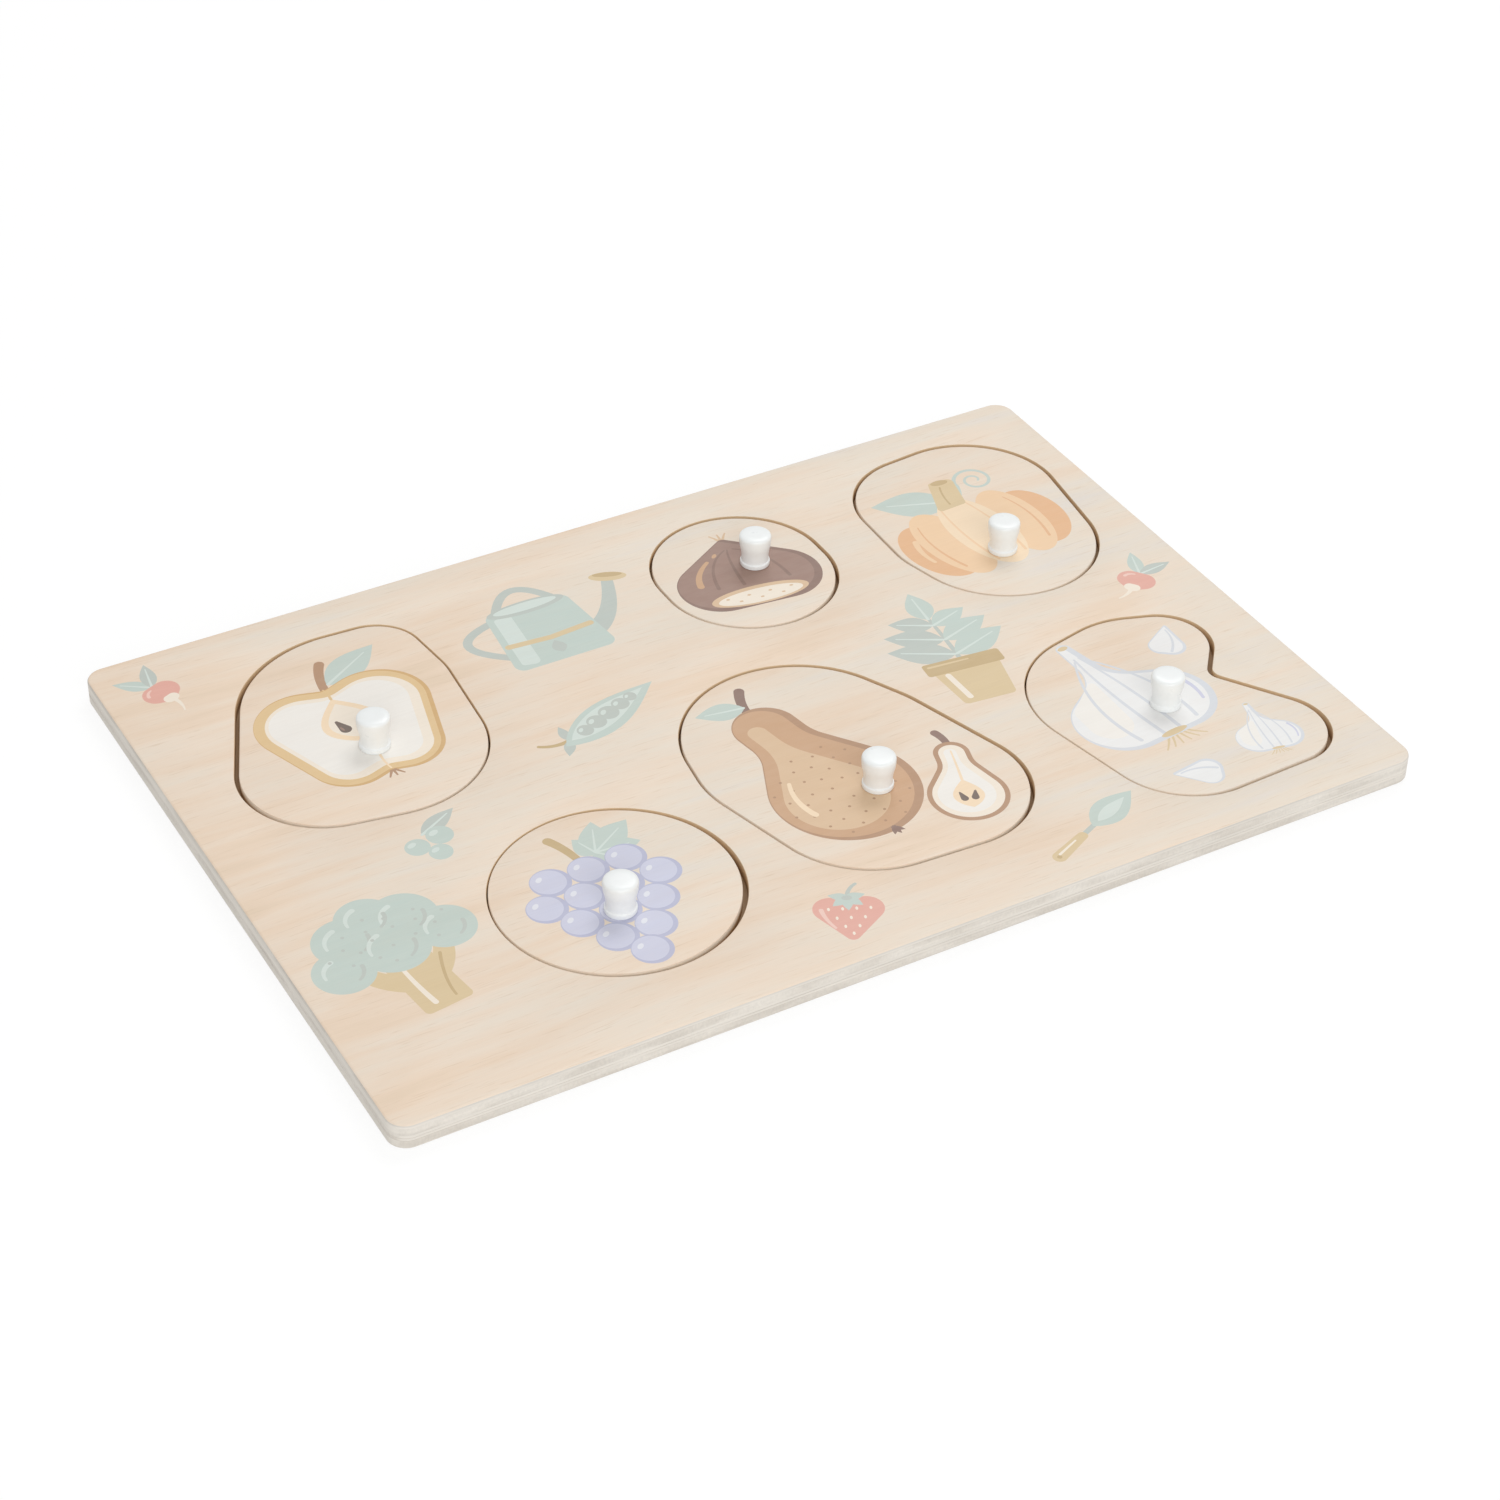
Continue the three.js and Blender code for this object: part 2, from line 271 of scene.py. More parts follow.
class Nodes:
    """The shader nodes of a material or of the world."""

    def __init__(self, tree: NodeTree) -> None:
        """Takes the node tree that the nodes go into."""
        self.tree = tree

    def node(
        self, kind: str, settings: dict | None = None, sockets: dict | None = None, output: int | str = 0
    ) -> Value:
        """Adds a node.

        Args:
            kind: Blender's name of the node's type.
            settings: properties that are set first. "stops" are a ramp's places and colours.
            sockets: what its inputs are fed, by name or number.
            output: which output is wanted.

        Returns:
            The value of that output.
        """
        made = self.tree.nodes.new(kind)
        for name, value in (settings or {}).items():
            if name == "stops":
                elements = made.color_ramp.elements
                for i, (place, code) in enumerate(value):
                    stop = elements[i] if i < len(elements) else elements.new(place)
                    stop.position, stop.color = place, linear(code)
            else:
                setattr(made, name, value)
        self.feed(made, sockets or {})
        return Value(self, made.outputs[output])

    def feed(self, node: Node, sockets: dict) -> None:
        """Sets or links the inputs of a node.

        Args:
            node: the node.
            sockets: numbers, codes of colours or links, by the input's name or number.
        """
        for key, value in sockets.items():
            if isinstance(value, Value):
                self.tree.links.new(value.socket, node.inputs[key])
            else:
                node.inputs[key].default_value = linear(value) if isinstance(value, str) else value

    def places(self) -> Value:
        """Gives the place of a point on its piece, in metres."""
        return self.node("ShaderNodeTexCoord", output="Object")

    def normal(self) -> Value:
        """Gives the direction to which the surface looks."""
        return self.node("ShaderNodeNewGeometry", output="Normal")

    def part(self, vector: Value, axis: str) -> Value:
        """Gives one coordinate of a vector."""
        return self.node("ShaderNodeSeparateXYZ", {}, {0: vector}, axis)

    def vectors(self, operation: str, first: Value, second: Value | Sequence[float]) -> Value:
        """Adds a Vector Math node and gives its result."""
        return self.node("ShaderNodeVectorMath", {"operation": operation}, {0: first, 1: second})

    def noise(self, places: Value, noise: Noise) -> Value:
        """Adds a noise, which goes from 0 to 1."""
        return self.node("ShaderNodeTexNoise", {}, {
            "Vector": self.vectors("MULTIPLY", places, noise.scale),
            "Scale": 1.0,
            "Detail": noise.detail,
            "Roughness": noise.roughness,
        })

    def between(self, value: Value, low: float, high: float) -> Value:
        """Maps a value softly from 0 at low to 1 at high."""
        sockets = {"Value": value, "From Min": low, "From Max": high}
        return self.node("ShaderNodeMapRange", {"interpolation_type": "SMOOTHSTEP"}, sockets)

    def across_grain(self, low: float, high: float) -> Value:
        """Gives 0 to 1 as a wall turns to look along X, across the ends of the wood's fibres."""
        along = self.part(self.normal(), "X")
        return self.between(self.node("ShaderNodeMath", {"operation": "ABSOLUTE"}, {0: along}), low, high)

    def ramp(self, value: Value, stops: Sequence[Shade]) -> Value:
        """Adds a colour ramp."""
        return self.node("ShaderNodeValToRGB", {"stops": stops}, {0: value})

    def mix(
        self, share: Value | float, first: Value | str, second: Value | str, blend: str = "MIX"
    ) -> Value:
        """Mixes two colours, by the share of the second one."""
        sockets = {0: share, MIX_FIRST: first, MIX_SECOND: second}
        return self.node("ShaderNodeMix", {"data_type": "RGBA", "blend_type": blend}, sockets, MIX_RESULT)

    def shaded(self, colour: Value | str, shade: Value) -> Value:
        """Multiplies a colour by a value."""
        grey = self.node("ShaderNodeCombineColor", {}, {0: shade, 1: shade, 2: shade})
        return self.mix(1.0, colour, grey, "MULTIPLY")

    def bump(self, height: Value, strength: float, depth: float) -> Value:
        """Makes a normal from a height of 0 to 1, a strength and a depth in millimetres."""
        sockets = {"Height": height, "Strength": strength, "Distance": depth * MM}
        return self.node("ShaderNodeBump", {}, sockets)

    def seen_directly(self) -> Value:
        """Gives 1 on rays that show the background itself, or show it in gloss or glass.

        Returns:
            The value.
        """
        kinds = ("Camera", "Glossy", "Transmission")
        camera, glossy, glass = (self.node("ShaderNodeLightPath", output=f"Is {kind} Ray") for kind in kinds)
        return self.node("ShaderNodeClamp", {}, {0: camera + glossy + glass})


class Surface(Nodes):
    """A material whose principled shader takes what its nodes work out."""

    def __init__(self, name: str) -> None:
        """Makes an empty material.

        Args:
            name: its name.
        """
        self.material = bpy.data.materials.new(name)
        self.material.use_nodes = True
        super().__init__(self.material.node_tree)

    def finished(self, touch: Touch, swing: Value, height: Value, sockets: dict) -> Material:
        """Finishes the material.

        Args:
            touch: its roughness and its relief.
            swing: value with which the roughness swings.
            height: height of the relief.
            sockets: what else the shader is fed.

        Returns:
            The material.
        """
        rough = {"Roughness": touch.roughness + swing.swing(touch.swing)}
        relief = {"Normal": self.bump(height, touch.relief, touch.depth)}
        self.feed(self.tree.nodes["Principled BSDF"], sockets | rough | relief)
        return self.material


class Grain(NamedTuple):
    """What the grain of the wood does to a surface."""

    colour: Value
    shade: Value  # also shows through a print
    height: Value


@dataclass(frozen=True)
class Veneer:
    """Sanded face veneer with its grain along X."""

    name: str
    tones: tuple[Shade, ...] = (
        (0.3, "#e2dad1"), (0.42, "#e8dccc"), (0.52, "#ebdac7"), (0.62, "#ebd5be"), (0.76, "#e3cdb3"),
    )
    broad: Noise = Noise((13, 46, 46), 3)
    broad_share: float = 0.62  # of the broad bands in the tone, beside the fine streaks
    streak: Noise = Noise((16, 210, 210), 4, 0.55)
    streak_shade: float = 0.06
    fibre: Noise = Noise((70, 2400, 2400))
    fibre_shade: float = 0.07
    paler_by_metre: float = 0.5  # along X, as a share of the tones
    aside: Noise = Noise((6, 14, 14))
    sway: float = 0.012  # how far the grain wanders aside, in metres
    dots: Noise = Noise((120, 2600, 2600))
    dots_from: Point = (0.6, 0.74)  # values of that noise where a pore starts and is full
    pore: str = "#c9ab88"
    pore_strength: float = 0.3
    heights: Weights = (0.6, 0.4, -0.5)  # of the fibres, streaks and pores in the relief
    touch: Touch = Touch(0.56, 0.16, 0.22, 0.08)

    def grain(self, nodes: Nodes) -> Grain:
        """Works out the grain.

        Args:
            nodes: the nodes of a material.

        Returns:
            What the grain does.
        """
        places = nodes.places()
        aside = nodes.noise(places, self.aside).swing(self.sway)
        flow = nodes.vectors("ADD", places, nodes.node("ShaderNodeCombineXYZ", {}, {1: aside}))
        noises = (self.broad, self.streak, self.fibre, self.dots)
        broad, streak, fibre, dots = (nodes.noise(flow, noise) for noise in noises)
        pores = nodes.between(dots, *self.dots_from)
        paler = nodes.part(places, "X") * self.paler_by_metre
        tone = broad * self.broad_share + streak * (1 - self.broad_share) - paler
        dotted = nodes.mix(pores * self.pore_strength, nodes.ramp(tone, self.tones), self.pore)
        shade = 1.0 - fibre.swing(self.fibre_shade) - streak.swing(self.streak_shade)
        on_fibre, on_streak, in_pore = self.heights
        height = fibre * on_fibre + streak * on_streak + pores * in_pore
        return Grain(nodes.shaded(dotted, shade), shade, height)

    def colour(self, wood: Surface, grain: Grain) -> Value:
        """Gives the colour of the bare veneer."""
        return grain.colour

    def made(self) -> Material:
        """Makes the material.

        Returns:
            The material.
        """
        wood = Surface(self.name)
        grain = self.grain(wood)
        return wood.finished(
            self.touch, grain.height, grain.height, {"Base Color": self.colour(wood, grain)}
        )


@dataclass(frozen=True)
class PaintedShadeVeneer(Veneer):
    """Veneer with painted shade next to the walls that stand on it, where they hide the sky from it."""

    # Painted shade: the colour towards which the floor is drawn near the walls, within a reach in
    # millimetres.
    painted_shade: str = "#b8956d"
    reach: float = 3.0
    open_sky: Point = (0.15, 0.8)  # shares of the sky that a point sees where the painted shade is full and ends
    rays: int = 8  # by which the share of the sky is found

    def colour(self, wood: Surface, grain: Grain) -> Value:
        """Gives the colour of the veneer with its painted shade."""
        # Painted shade: the less of the sky a point sees, the more it takes the shade's colour.
        clear = wood.node(
            "ShaderNodeAmbientOcclusion", {"samples": self.rays}, {"Distance": self.reach * MM}, "AO"
        )
        return wood.mix(1.0 - wood.between(clear, *self.open_sky), grain.colour, self.painted_shade)


@dataclass(frozen=True)
class PrintedVeneer(Veneer):
    """Veneer under one ink of the print, through which its grain shows faintly."""

    touch: Touch = Touch(0.5, 0.12, 0.16, 0.08)
    ink: Ink = Ink.SAGE
    cover: float = 0.9  # how far the ink hides the wood
    thin: Noise = Noise((180, 420, 420), 3)
    uneven: float = 0.12  # how far its cover swings

    def colour(self, wood: Surface, grain: Grain) -> Value:
        """Gives the colour of the print."""
        cover = self.cover + wood.noise(wood.places(), self.thin).swing(self.uneven)
        return wood.mix(cover, grain.colour, wood.shaded(self.ink.value, grain.shade))


@dataclass(frozen=True)
class PlyEdge:
    """Sanded edge of the glued boards, on which the plies show."""

    height: float = 7.5
    cores: tuple[Point, ...] = ((0.8, 2.7), (4.4, 6.5))  # plies whose grain runs along Y
    core_soft: float = 0.05
    glue_lines: tuple[float, ...] = (0.8, 2.7, 3.5, 4.4, 6.5)
    glue_width: float = 0.16
    glue: str = "#b1a799"
    glue_strength: float = 0.7
    wave: Noise = Noise((45, 45, 45), 3)
    wave_height: float = 0.06  # how far the plies wander, as a share of the height
    long_grain: str = "#ded8cf"
    end_grain: str = "#d3ccc2"
    end_turn: Point = (0.6, 0.8)  # how far a wall looks along X where end grain starts and is full
    streak: Noise = Noise((26, 26, 1100), 4, 0.6)
    streak_shade: float = 0.3
    vessel: Noise = Noise((1500, 1500, 900))
    vessel_middle: float = 0.45
    vessel_shade: float = 0.24
    patch: Noise = Noise((60, 60, 260), 3)
    patch_shade: float = 0.12
    bare: Point = (0.36, 0.66)  # values of the patches where the edge is smeared and where it is bare
    smeared_end: float = 0.1  # share of the end grain that still shows where it is smeared
    bright: float = 1.02
    round_turn: Point = (0.1, 0.6)  # how far the edge looks up where its painted shade starts and is full
    worn: float = 0.12  # painted shade: how much darker the rounded edge is drawn as it looks up into the light
    heights: Weights = (0.5, 0.8, -0.5)  # of the streaks, end grain and glue lines in the relief
    touch: Touch = Touch(0.62, 0.16, 0.3, 0.12)

    def stripes(self, bands: Iterable[Point], soft: float) -> list[Shade]:
        """Gives the stops of a ramp up the edge that is white in some bands, with soft borders."""
        stripes = [(low - soft, low, high, high + soft) for low, high in bands]
        return [(z / self.height, code) for stripe in stripes for z, code in zip(stripe, STRIPE)]

    def made(self) -> Material:
        """Makes the material.

        Returns:
            The material.
        """
        edge = Surface("ply_edge")
        places = edge.places()
        wave = edge.noise(places, self.wave).swing(self.wave_height)
        level = edge.part(places, "Z") * (1 / (self.height * MM)) + wave
        lines = [(z, z) for z in self.glue_lines]
        core, glue = (
            edge.node("ShaderNodeRGBToBW", {}, {0: edge.ramp(level, self.stripes(bands, soft))})
            for bands, soft in ((self.cores, self.core_soft), (lines, self.glue_width / 2))
        )
        streak, vessel, patch = (edge.noise(places, n) for n in (self.streak, self.vessel, self.patch))
        side = edge.across_grain(*self.end_turn)
        end = core + side - core * side * 2.0  # one or the other, but not both
        bare = edge.between(patch, *self.bare)
        shown = self.smeared_end + (1 - self.smeared_end) * bare
        wood = edge.mix(end * shown, self.long_grain, self.end_grain)
        pits = end * (vessel - self.vessel_middle) * self.vessel_shade
        # Painted shade: the rounded upper edge is drawn darker the more it looks up, against the light it
        # catches.
        rounded = edge.between(edge.part(edge.normal(), "Z"), *self.round_turn)
        shade = self.bright - streak.swing(self.streak_shade) - pits - patch.swing(self.patch_shade)
        toned = edge.shaded(wood, shade - rounded * self.worn)
        colour = edge.mix(glue * bare * self.glue_strength, toned, self.glue)
        on_streak, on_end, in_glue = self.heights
        height = streak * on_streak + vessel * end * on_end + glue * in_glue
        return edge.finished(self.touch, vessel, height, {"Base Color": colour})


@dataclass(frozen=True)
class BurntCut:
    """Wall of a cut, browned by the laser and more so where it crosses the grain, with painted light near
    its top and painted shade that is darkest at its foot.
    """

    name: str
    pale_top: float  # share of the depth near the top that is pale, as painted light
    light: str = "#f5ebdc"
    middle: str = "#d2b18a"
    dark: str = "#ab8a64"
    fade: float = 0.22  # share of the depth from the light colour to the middle one
    dark_from: float = 0.85  # share of the depth under which it is dark, as painted shade
    end_char: float = 0.06  # how much further end grain is browned, as a share of the depth
    end_turn: Point = (0.4, 0.9)  # as on the ply edge
    scallop: Noise = Noise((900, 900, 90))
    scallop_swing: float = 0.08
    patch: Noise = Noise((90, 90, 420), 3)
    patch_swing: float = 0.14
    top: float = 7.5
    depth: float = 4.0
    touch: Touch = Touch(0.7, 0.2, 0.35, 0.1)

    def made(self) -> Material:
        """Makes the material.

        Returns:
            The material.
        """
        cut = Surface(self.name)
        places = cut.places()
        # Painted light and shade: the colour goes from pale at the top to dark at the foot, by depth alone.
        below = (self.top - cut.part(places, "Z") * (1 / MM)) * (1 / self.depth)
        scallop, patch = (cut.noise(places, noise) for noise in (self.scallop, self.patch))
        char = cut.across_grain(*self.end_turn) * self.end_char
        burn_and_depth_shade = below + char + patch.swing(self.patch_swing) + scallop.swing(self.scallop_swing)
        browned = (self.pale_top + self.fade, self.middle)
        colour = cut.ramp(burn_and_depth_shade, [(self.pale_top, self.light), browned, (self.dark_from, self.dark)])
        return cut.finished(self.touch, patch, scallop, {"Base Color": colour})


@dataclass(frozen=True)
class PegPaint:
    """Glossy white paint over turned wood."""

    white: str = "#f4f7f7"
    thin: str = "#eaecea"
    thin_share: float = 0.7  # of the thin paint's colour where it is thinnest
    cloud: Noise = Noise((260, 260, 260), 3)
    turning: Noise = Noise((160, 160, 2600))
    turning_share: float = 0.6  # of the turning marks in the relief
    orange_peel: Noise = Noise((1500, 1500, 1500))
    touch: Touch = Touch(0.3, 0.14, 0.12, 0.06)
    coat: float = 0.2
    coat_gloss: float = 0.18

    def made(self) -> Material:
        """Makes the material.

        Returns:
            The material.
        """
        paint = Surface("white_peg_paint")
        places = paint.places()
        noises = (self.cloud, self.turning, self.orange_peel)
        cloud, turning, orange_peel = (paint.noise(places, noise) for noise in noises)
        height = turning * self.turning_share + orange_peel * (1 - self.turning_share)
        return paint.finished(self.touch, cloud, height, {
            "Base Color": paint.mix(cloud * self.thin_share, self.white, self.thin),
            "Coat Weight": self.coat,
            "Coat Roughness": self.coat_gloss,
        })


@dataclass(frozen=True)
class Zinc:
    """Zinc plated steel with duller patches."""

    bright: str = "#cfd3d8"
    dull: str = "#a9adb3"
    patch: Noise = Noise((900, 900, 900), 3)
    scratch: Noise = Noise((300, 5200, 5200))
    touch: Touch = Touch(0.37, 0.22, 0.1, 0.03)

    def made(self) -> Material:
        """Makes the material.

        Returns:
            The material.
        """
        metal = Surface("zinc_plating")
        patch, scratch = (metal.noise(metal.places(), noise) for noise in (self.patch, self.scratch))
        colour = metal.mix(patch, self.bright, self.dull)
        return metal.finished(self.touch, patch, scratch, {"Base Color": colour, "Metallic": 1.0})


class Finishes:
    """All finishes of the puzzle, each made once."""

    def __init__(self) -> None:
        """Makes the materials."""
        back = {
            "tones": ((0.28, "#ded2c2"), (0.45, "#e4d4bf"), (0.6, "#e2cdb2"), (0.8, "#d2b998")),
            "pore": "#bb9c78",
            "touch": Touch(0.66, 0.16, 0.22, 0.08),
        }
        self.face = Veneer("face_veneer").made()
        self.back = Veneer("back_veneer", **back).made()
        self.floor = PaintedShadeVeneer("recess_floor", **back).made()
        self.inks = {ink: PrintedVeneer(f"print_{ink.name.lower()}", ink=ink).made() for ink in Ink}
        self.edge = PlyEdge().made()
        self.cut = BurntCut("piece_wall", pale_top=0.36).made()
        self.recess = BurntCut("recess_wall", pale_top=0.06, light="#d4b995").made()
        self.paint = PegPaint().made()
        self.zinc = Zinc().made()


class Shape(NamedTuple):
    """A flat shape of the print."""

    points: list[Point]
    ink: Ink


@dataclass(frozen=True)
class Pen:
    """Draws the flat shapes of a print, from a place of its own."""

    shapes: list[Shape]  # drawn so far, each over the earlier ones
    place: Point = (0.0, 0.0)  # of the pen's zero on the sheet
    turn: float = 0.0
    size: float = 1.0

    def on_sheet(self, point: Point) -> Point:
        """Gives the place of a point on the sheet."""
        turned = Matrix.Rotation(math.radians(self.turn), 2) @ Vector(point) * self.size
        return (turned.x + self.place[0], turned.y + self.place[1])

    def at(self, x: float, y: float, turn: float = 0.0, size: float = 1.0) -> Self:
        """Gives a pen that draws on the same sheet from another place, turned by some degrees."""
        return replace(self, place=self.on_sheet((x, y)), turn=self.turn + turn, size=self.size * size)

    def fill(self, points: Iterable[Point], ink: Ink) -> None:
        """Fills an outline."""
        self.shapes.append(Shape([self.on_sheet(point) for point in points], ink))

    def discs(self, discs: Sequence[Disc], ink: Ink, grow: float = 0.0) -> None:
        """Fills the outline of a chain of discs."""
        self.fill(outline(discs, grow), ink)

    def oval(self, x: float, y: float, width: float, height: float, ink: Ink, turn: float = 0.0) -> None:
        """Fills an oval about a point, turned by some degrees."""
        sides = arc_steps(max(width, height) * self.size / 2, FULL_TURN)
        self.at(x, y, turn).fill([(px * width, py * height) for px, py in circle(0.5, sides)], ink)

    def stroke(self, path: Sequence[Point], ink: Ink, width: float, tip: float | None = None) -> None:
        """Draws a line with round ends.

        Args:
            path: points along the middle of the line.
            ink: the ink.
            width: its width, or its width at the start where it tapers.
            tip: its width at the end, if it tapers.
        """
        last = len(path) - 1
        end = width if tip is None else tip
        widths = [width + (end - width) * i / last for i in range(last + 1)]
        rim = []
        for way in (1, -1):
            spine, halves = [Vector(point) for point in path[::way]], [w / 2 for w in widths[::way]]
            for i, (spot, half) in enumerate(zip(spine, halves)):
                aim = (spine[min(i + 1, last)] - spine[max(i - 1, 0)]).normalized()
                rim.append(tuple(spot + Vector((aim.y, -aim.x)) * half))
            start = math.atan2(aim.y, aim.x) - QUARTER_TURN
            steps = arc_steps(half * self.size, HALF_TURN) + 1
            rim += arc((spot.x, spot.y, half), start, HALF_TURN, steps)[1:-1]
        self.fill(rim, ink)

    def curve(
        self, start: Point, middle: Point, end: Point, ink: Ink, width: float, tip: float | None = None
    ) -> None:
        """Draws a line that sets out towards a middle point and comes to its end from there."""
        a, b, c = Vector(start), Vector(middle), Vector(end)
        self.stroke([tuple(a.lerp(b, s).lerp(b.lerp(c, s), s)) for s in CURVE_SHARES], ink, width, tip)

    def leaf(self, base: Point, tip: Point, width: float, ink: Ink, vein: Ink | None = None) -> None:
        """Draws a pointed leaf.

        Args:
            base: where it starts.
            tip: where it ends.
            width: its greatest width.
            ink: the ink.
            vein: ink of its middle vein, if it has one.
        """
        start, along = Vector(base), Vector(tip) - Vector(base)
        side = Vector((-along.y, along.x)).normalized() * width / 2
        halves = [math.sin(HALF_TURN * share ** LEAF_SKEW) for share in CURVE_SHARES]
        right = [tuple(start + along * s - side * h) for s, h in zip(CURVE_SHARES, halves)]
        left = [tuple(start + along * s + side * h) for s, h in zip(CURVE_SHARES, halves)]
        self.fill(right + left[-2:0:-1], ink)
        if vein:
            self.stroke([tuple(start + along * s) for s in VEIN_SHARES], vein, *VEIN_WIDTHS)


class Garden(Pen):
    """A pen with kitchen-garden motifs, each drawn upright about its own middle."""

    PEAR = ((0, -14, 22), (25, 16.5, -14), (1, 22, 10), (-23, 16.5, -14))

    def half_apple(self) -> None:
        """Draws an apple cut in half."""
        skin = ((8, -12, 12), (11, 8, 15), (0, 24.3, -4), (-11, 8, 15), (-8, -12, 12), (0, -25.3, -3))
        self.curve((0, 14), (0, 25), (4.5, 32), Ink.UMBER, 2.4, 3.0)
        self.leaf((2, 22), (22, 33), 10.5, Ink.SAGE, Ink.MIST)
        self.discs(skin, Ink.AMBER)
        self.at(-0.5, 0.3).discs(skin, Ink.HONEY, -0.7)
        self.discs(skin, Ink.CREAM, -3.2)
        self.at(-0.8, 0.6).discs(skin, Ink.MILK, -5.2)
        self.leaf((0, -6.5), (0, 15.5), 17, Ink.BUTTER)
        self.leaf((0, -4.3), (0, 13), 12.5, Ink.CREAM)
        for way in (-1, 1):
            self.at(way * 3, 2.6, way * -12).discs(((0, -1.6, 1.7), (0, 2.6, 0.5)), Ink.SEED)
            self.at(way * 3.5, 1.6, way * -12).oval(0, 0, 0.7, 2, Ink.COCOA)
        self.curve((0, 15.5), (0.4, 18), (0, 20.5), Ink.HONEY, 0.9, 0.5)
        self.curve((0, -14.5), (-0.5, -18), (0, -21), Ink.BUTTER, 0.8, 0.5)
        for way in (-1, 0, 1):
            self.stroke([(way * 0.6, -22.2), (way * 2.2, -24.6)], Ink.UMBER, 0.9, 0.5)

    def chestnut(self) -> None:
        """Draws a chestnut."""
        body = ((9.5, -4, 13), (0, 16.5, 2.2), (-9.5, -4, 13))
        for way in (-1, 0, 1):
            self.curve((0, 17), (way, 19.5), (way * 2.6, 21.6), Ink.FAWN, 1.1, 0.5)
        self.discs(body, Ink.BARK)
        self.at(-0.9, 0.7).discs(body, Ink.COCOA, -1.4)
        for x, reach in ((-10.5, -5), (-2.5, -5.5), (12, -6)):
            self.curve((x * 0.12, 13), (x * 0.9, 8), (x, reach), Ink.BARK, 0.5, 1.2)
        self.oval(0, -11.9, 31, 9.2, Ink.FAWN)
        self.oval(0, -12.3, 27, 6.8, Ink.CREAM)
        for i, x in enumerate(row(7, 3.4)):
            self.oval(x, -12.3 + 1.1 * (-1) ** i, 1.2, 0.8, Ink.FAWN)
        self.curve((-15, -2), (-14.5, 4), (-8.5, 9), Ink.RUSSET, 2.2, 1.2)
        self.oval(-5.2, 11.4, 2.4, 1.3, Ink.RUSSET, 48)

    def pumpkin(self) -> None:
        """Draws a ribbed pumpkin with a tendril."""
        turns = [(1.6 * FULL_TURN * i / 40, 6.4 - 5.2 * i / 40) for i in range(41)]
        curl = [(13.8 - reach * math.cos(turn), 23 + reach * math.sin(turn)) for turn, reach in turns]
        self.stroke(curl, Ink.SAGE, 1.2, 0.7)
        self.curve((1.5, 15), (6, 18), (7.5, 23), Ink.SAGE, 1.3, 1.2)
        self.leaf((1, 17), (-21, 27), 13, Ink.SAGE, Ink.MIST)
        for way in (-1, 1):
            self.oval(way * 17.2, -2, 19, 29, Ink.APRICOT, way * -6)
        for way in (-1, 1):
            self.oval(way * 11.5, -1, 17, 35, Ink.PEACH, way * -3)
            self.curve((way * 15.5, 11), (way * 19, 0), (way * 15, -12.5), Ink.APRICOT, 0.4, 0.9)
        self.oval(0, 0, 18.5, 37.5, Ink.BUTTER)
        for way in (-1, 1):
            self.curve((way * 4.4, 14.5), (way * 7.2, 0), (way * 4.8, -14.5), Ink.PEACH, 0.5, 0.9)
        self.curve((-20.5, 5), (-22.8, 0), (-21.5, -6), Ink.PEACH, 1.9, 1.1)
        self.discs(((3.6, 15.4, 1.2), (6.2, 26, 1.8), (1.4, 27.2, 1.2), (-3.6, 15.4, 1.2)), Ink.STRAW)
        self.oval(3.9, 27.2, 5.6, 2.6, Ink.TWIG, -8)
        self.curve((0, 16.2), (0.5, 21), (2.6, 25), Ink.TWIG, 0.6, 0.6)

    def grapes(self) -> None:
        """Draws a bunch of grapes with a lobed leaf."""
        radius, gap, pitch = 5.5, 10.8, 8.9
        self.curve((0, 18), (-0.5, 27), (-4, 33), Ink.TWIG, 2.0, 2.8)
        leaf = self.at(4.5, 23, -58, 0.84)
        lobes = ((0, 19, 11), (9, 12.5, 10), (-9, 12.5, 10), (9.5, 2, 8), (-9.5, 2, 8))
        for x, y, width in lobes:
            leaf.leaf((-x * 0.12, 0), (x, y), width, Ink.SAGE)
        for x, y, _ in lobes:
            leaf.stroke([(0, 0.5), (x * 0.72, 0.5 + y * 0.72)], Ink.MIST, 0.9, 0.4)
        for level, count in ((2, 3), (1, 4), (0, 3), (-1, 2), (-1.92, 1)):
            for x in row(count, gap):
                berry = self.at(x, level * pitch)
                berry.oval(0, 0, 2 * radius, 2 * radius, Ink.PLUM)
                berry.oval(-0.4, 0.45, 1.72 * radius, 1.72 * radius, Ink.LILAC)
                berry.oval(-2.2, 2.3, 2.3, 1.5, Ink.HAZE, 42)

    def pear(self) -> None:
        """Draws a russet pear."""
        self.curve((1, 28), (1.5, 35), (6, 40.5), Ink.BARK, 2.6, 3.2)
        self.leaf((2.4, 33.5), (-12, 38.5), 8, Ink.SAGE, Ink.MIST)
        self.discs(self.PEAR, Ink.UMBER)
        self.at(-1.0, 0.6).discs(self.PEAR, Ink.RUSSET, -1.5)
        self.at(-3.4, -0.4).discs(self.PEAR, Ink.FAWN, -7)
        for x, y in spread(45, 3.0):
            self.oval(x, y - 13, 0.9, 0.9, Ink.UMBER)
        self.curve((-13.5, -17), (-15, -9), (-10.5, -2), Ink.BUTTER, 2.0, 1.2)
        for turn in (-40, 0, 40):
            self.at(0, -35, turn).leaf((0, 1.2), (0, -3), 1.8, Ink.BARK)

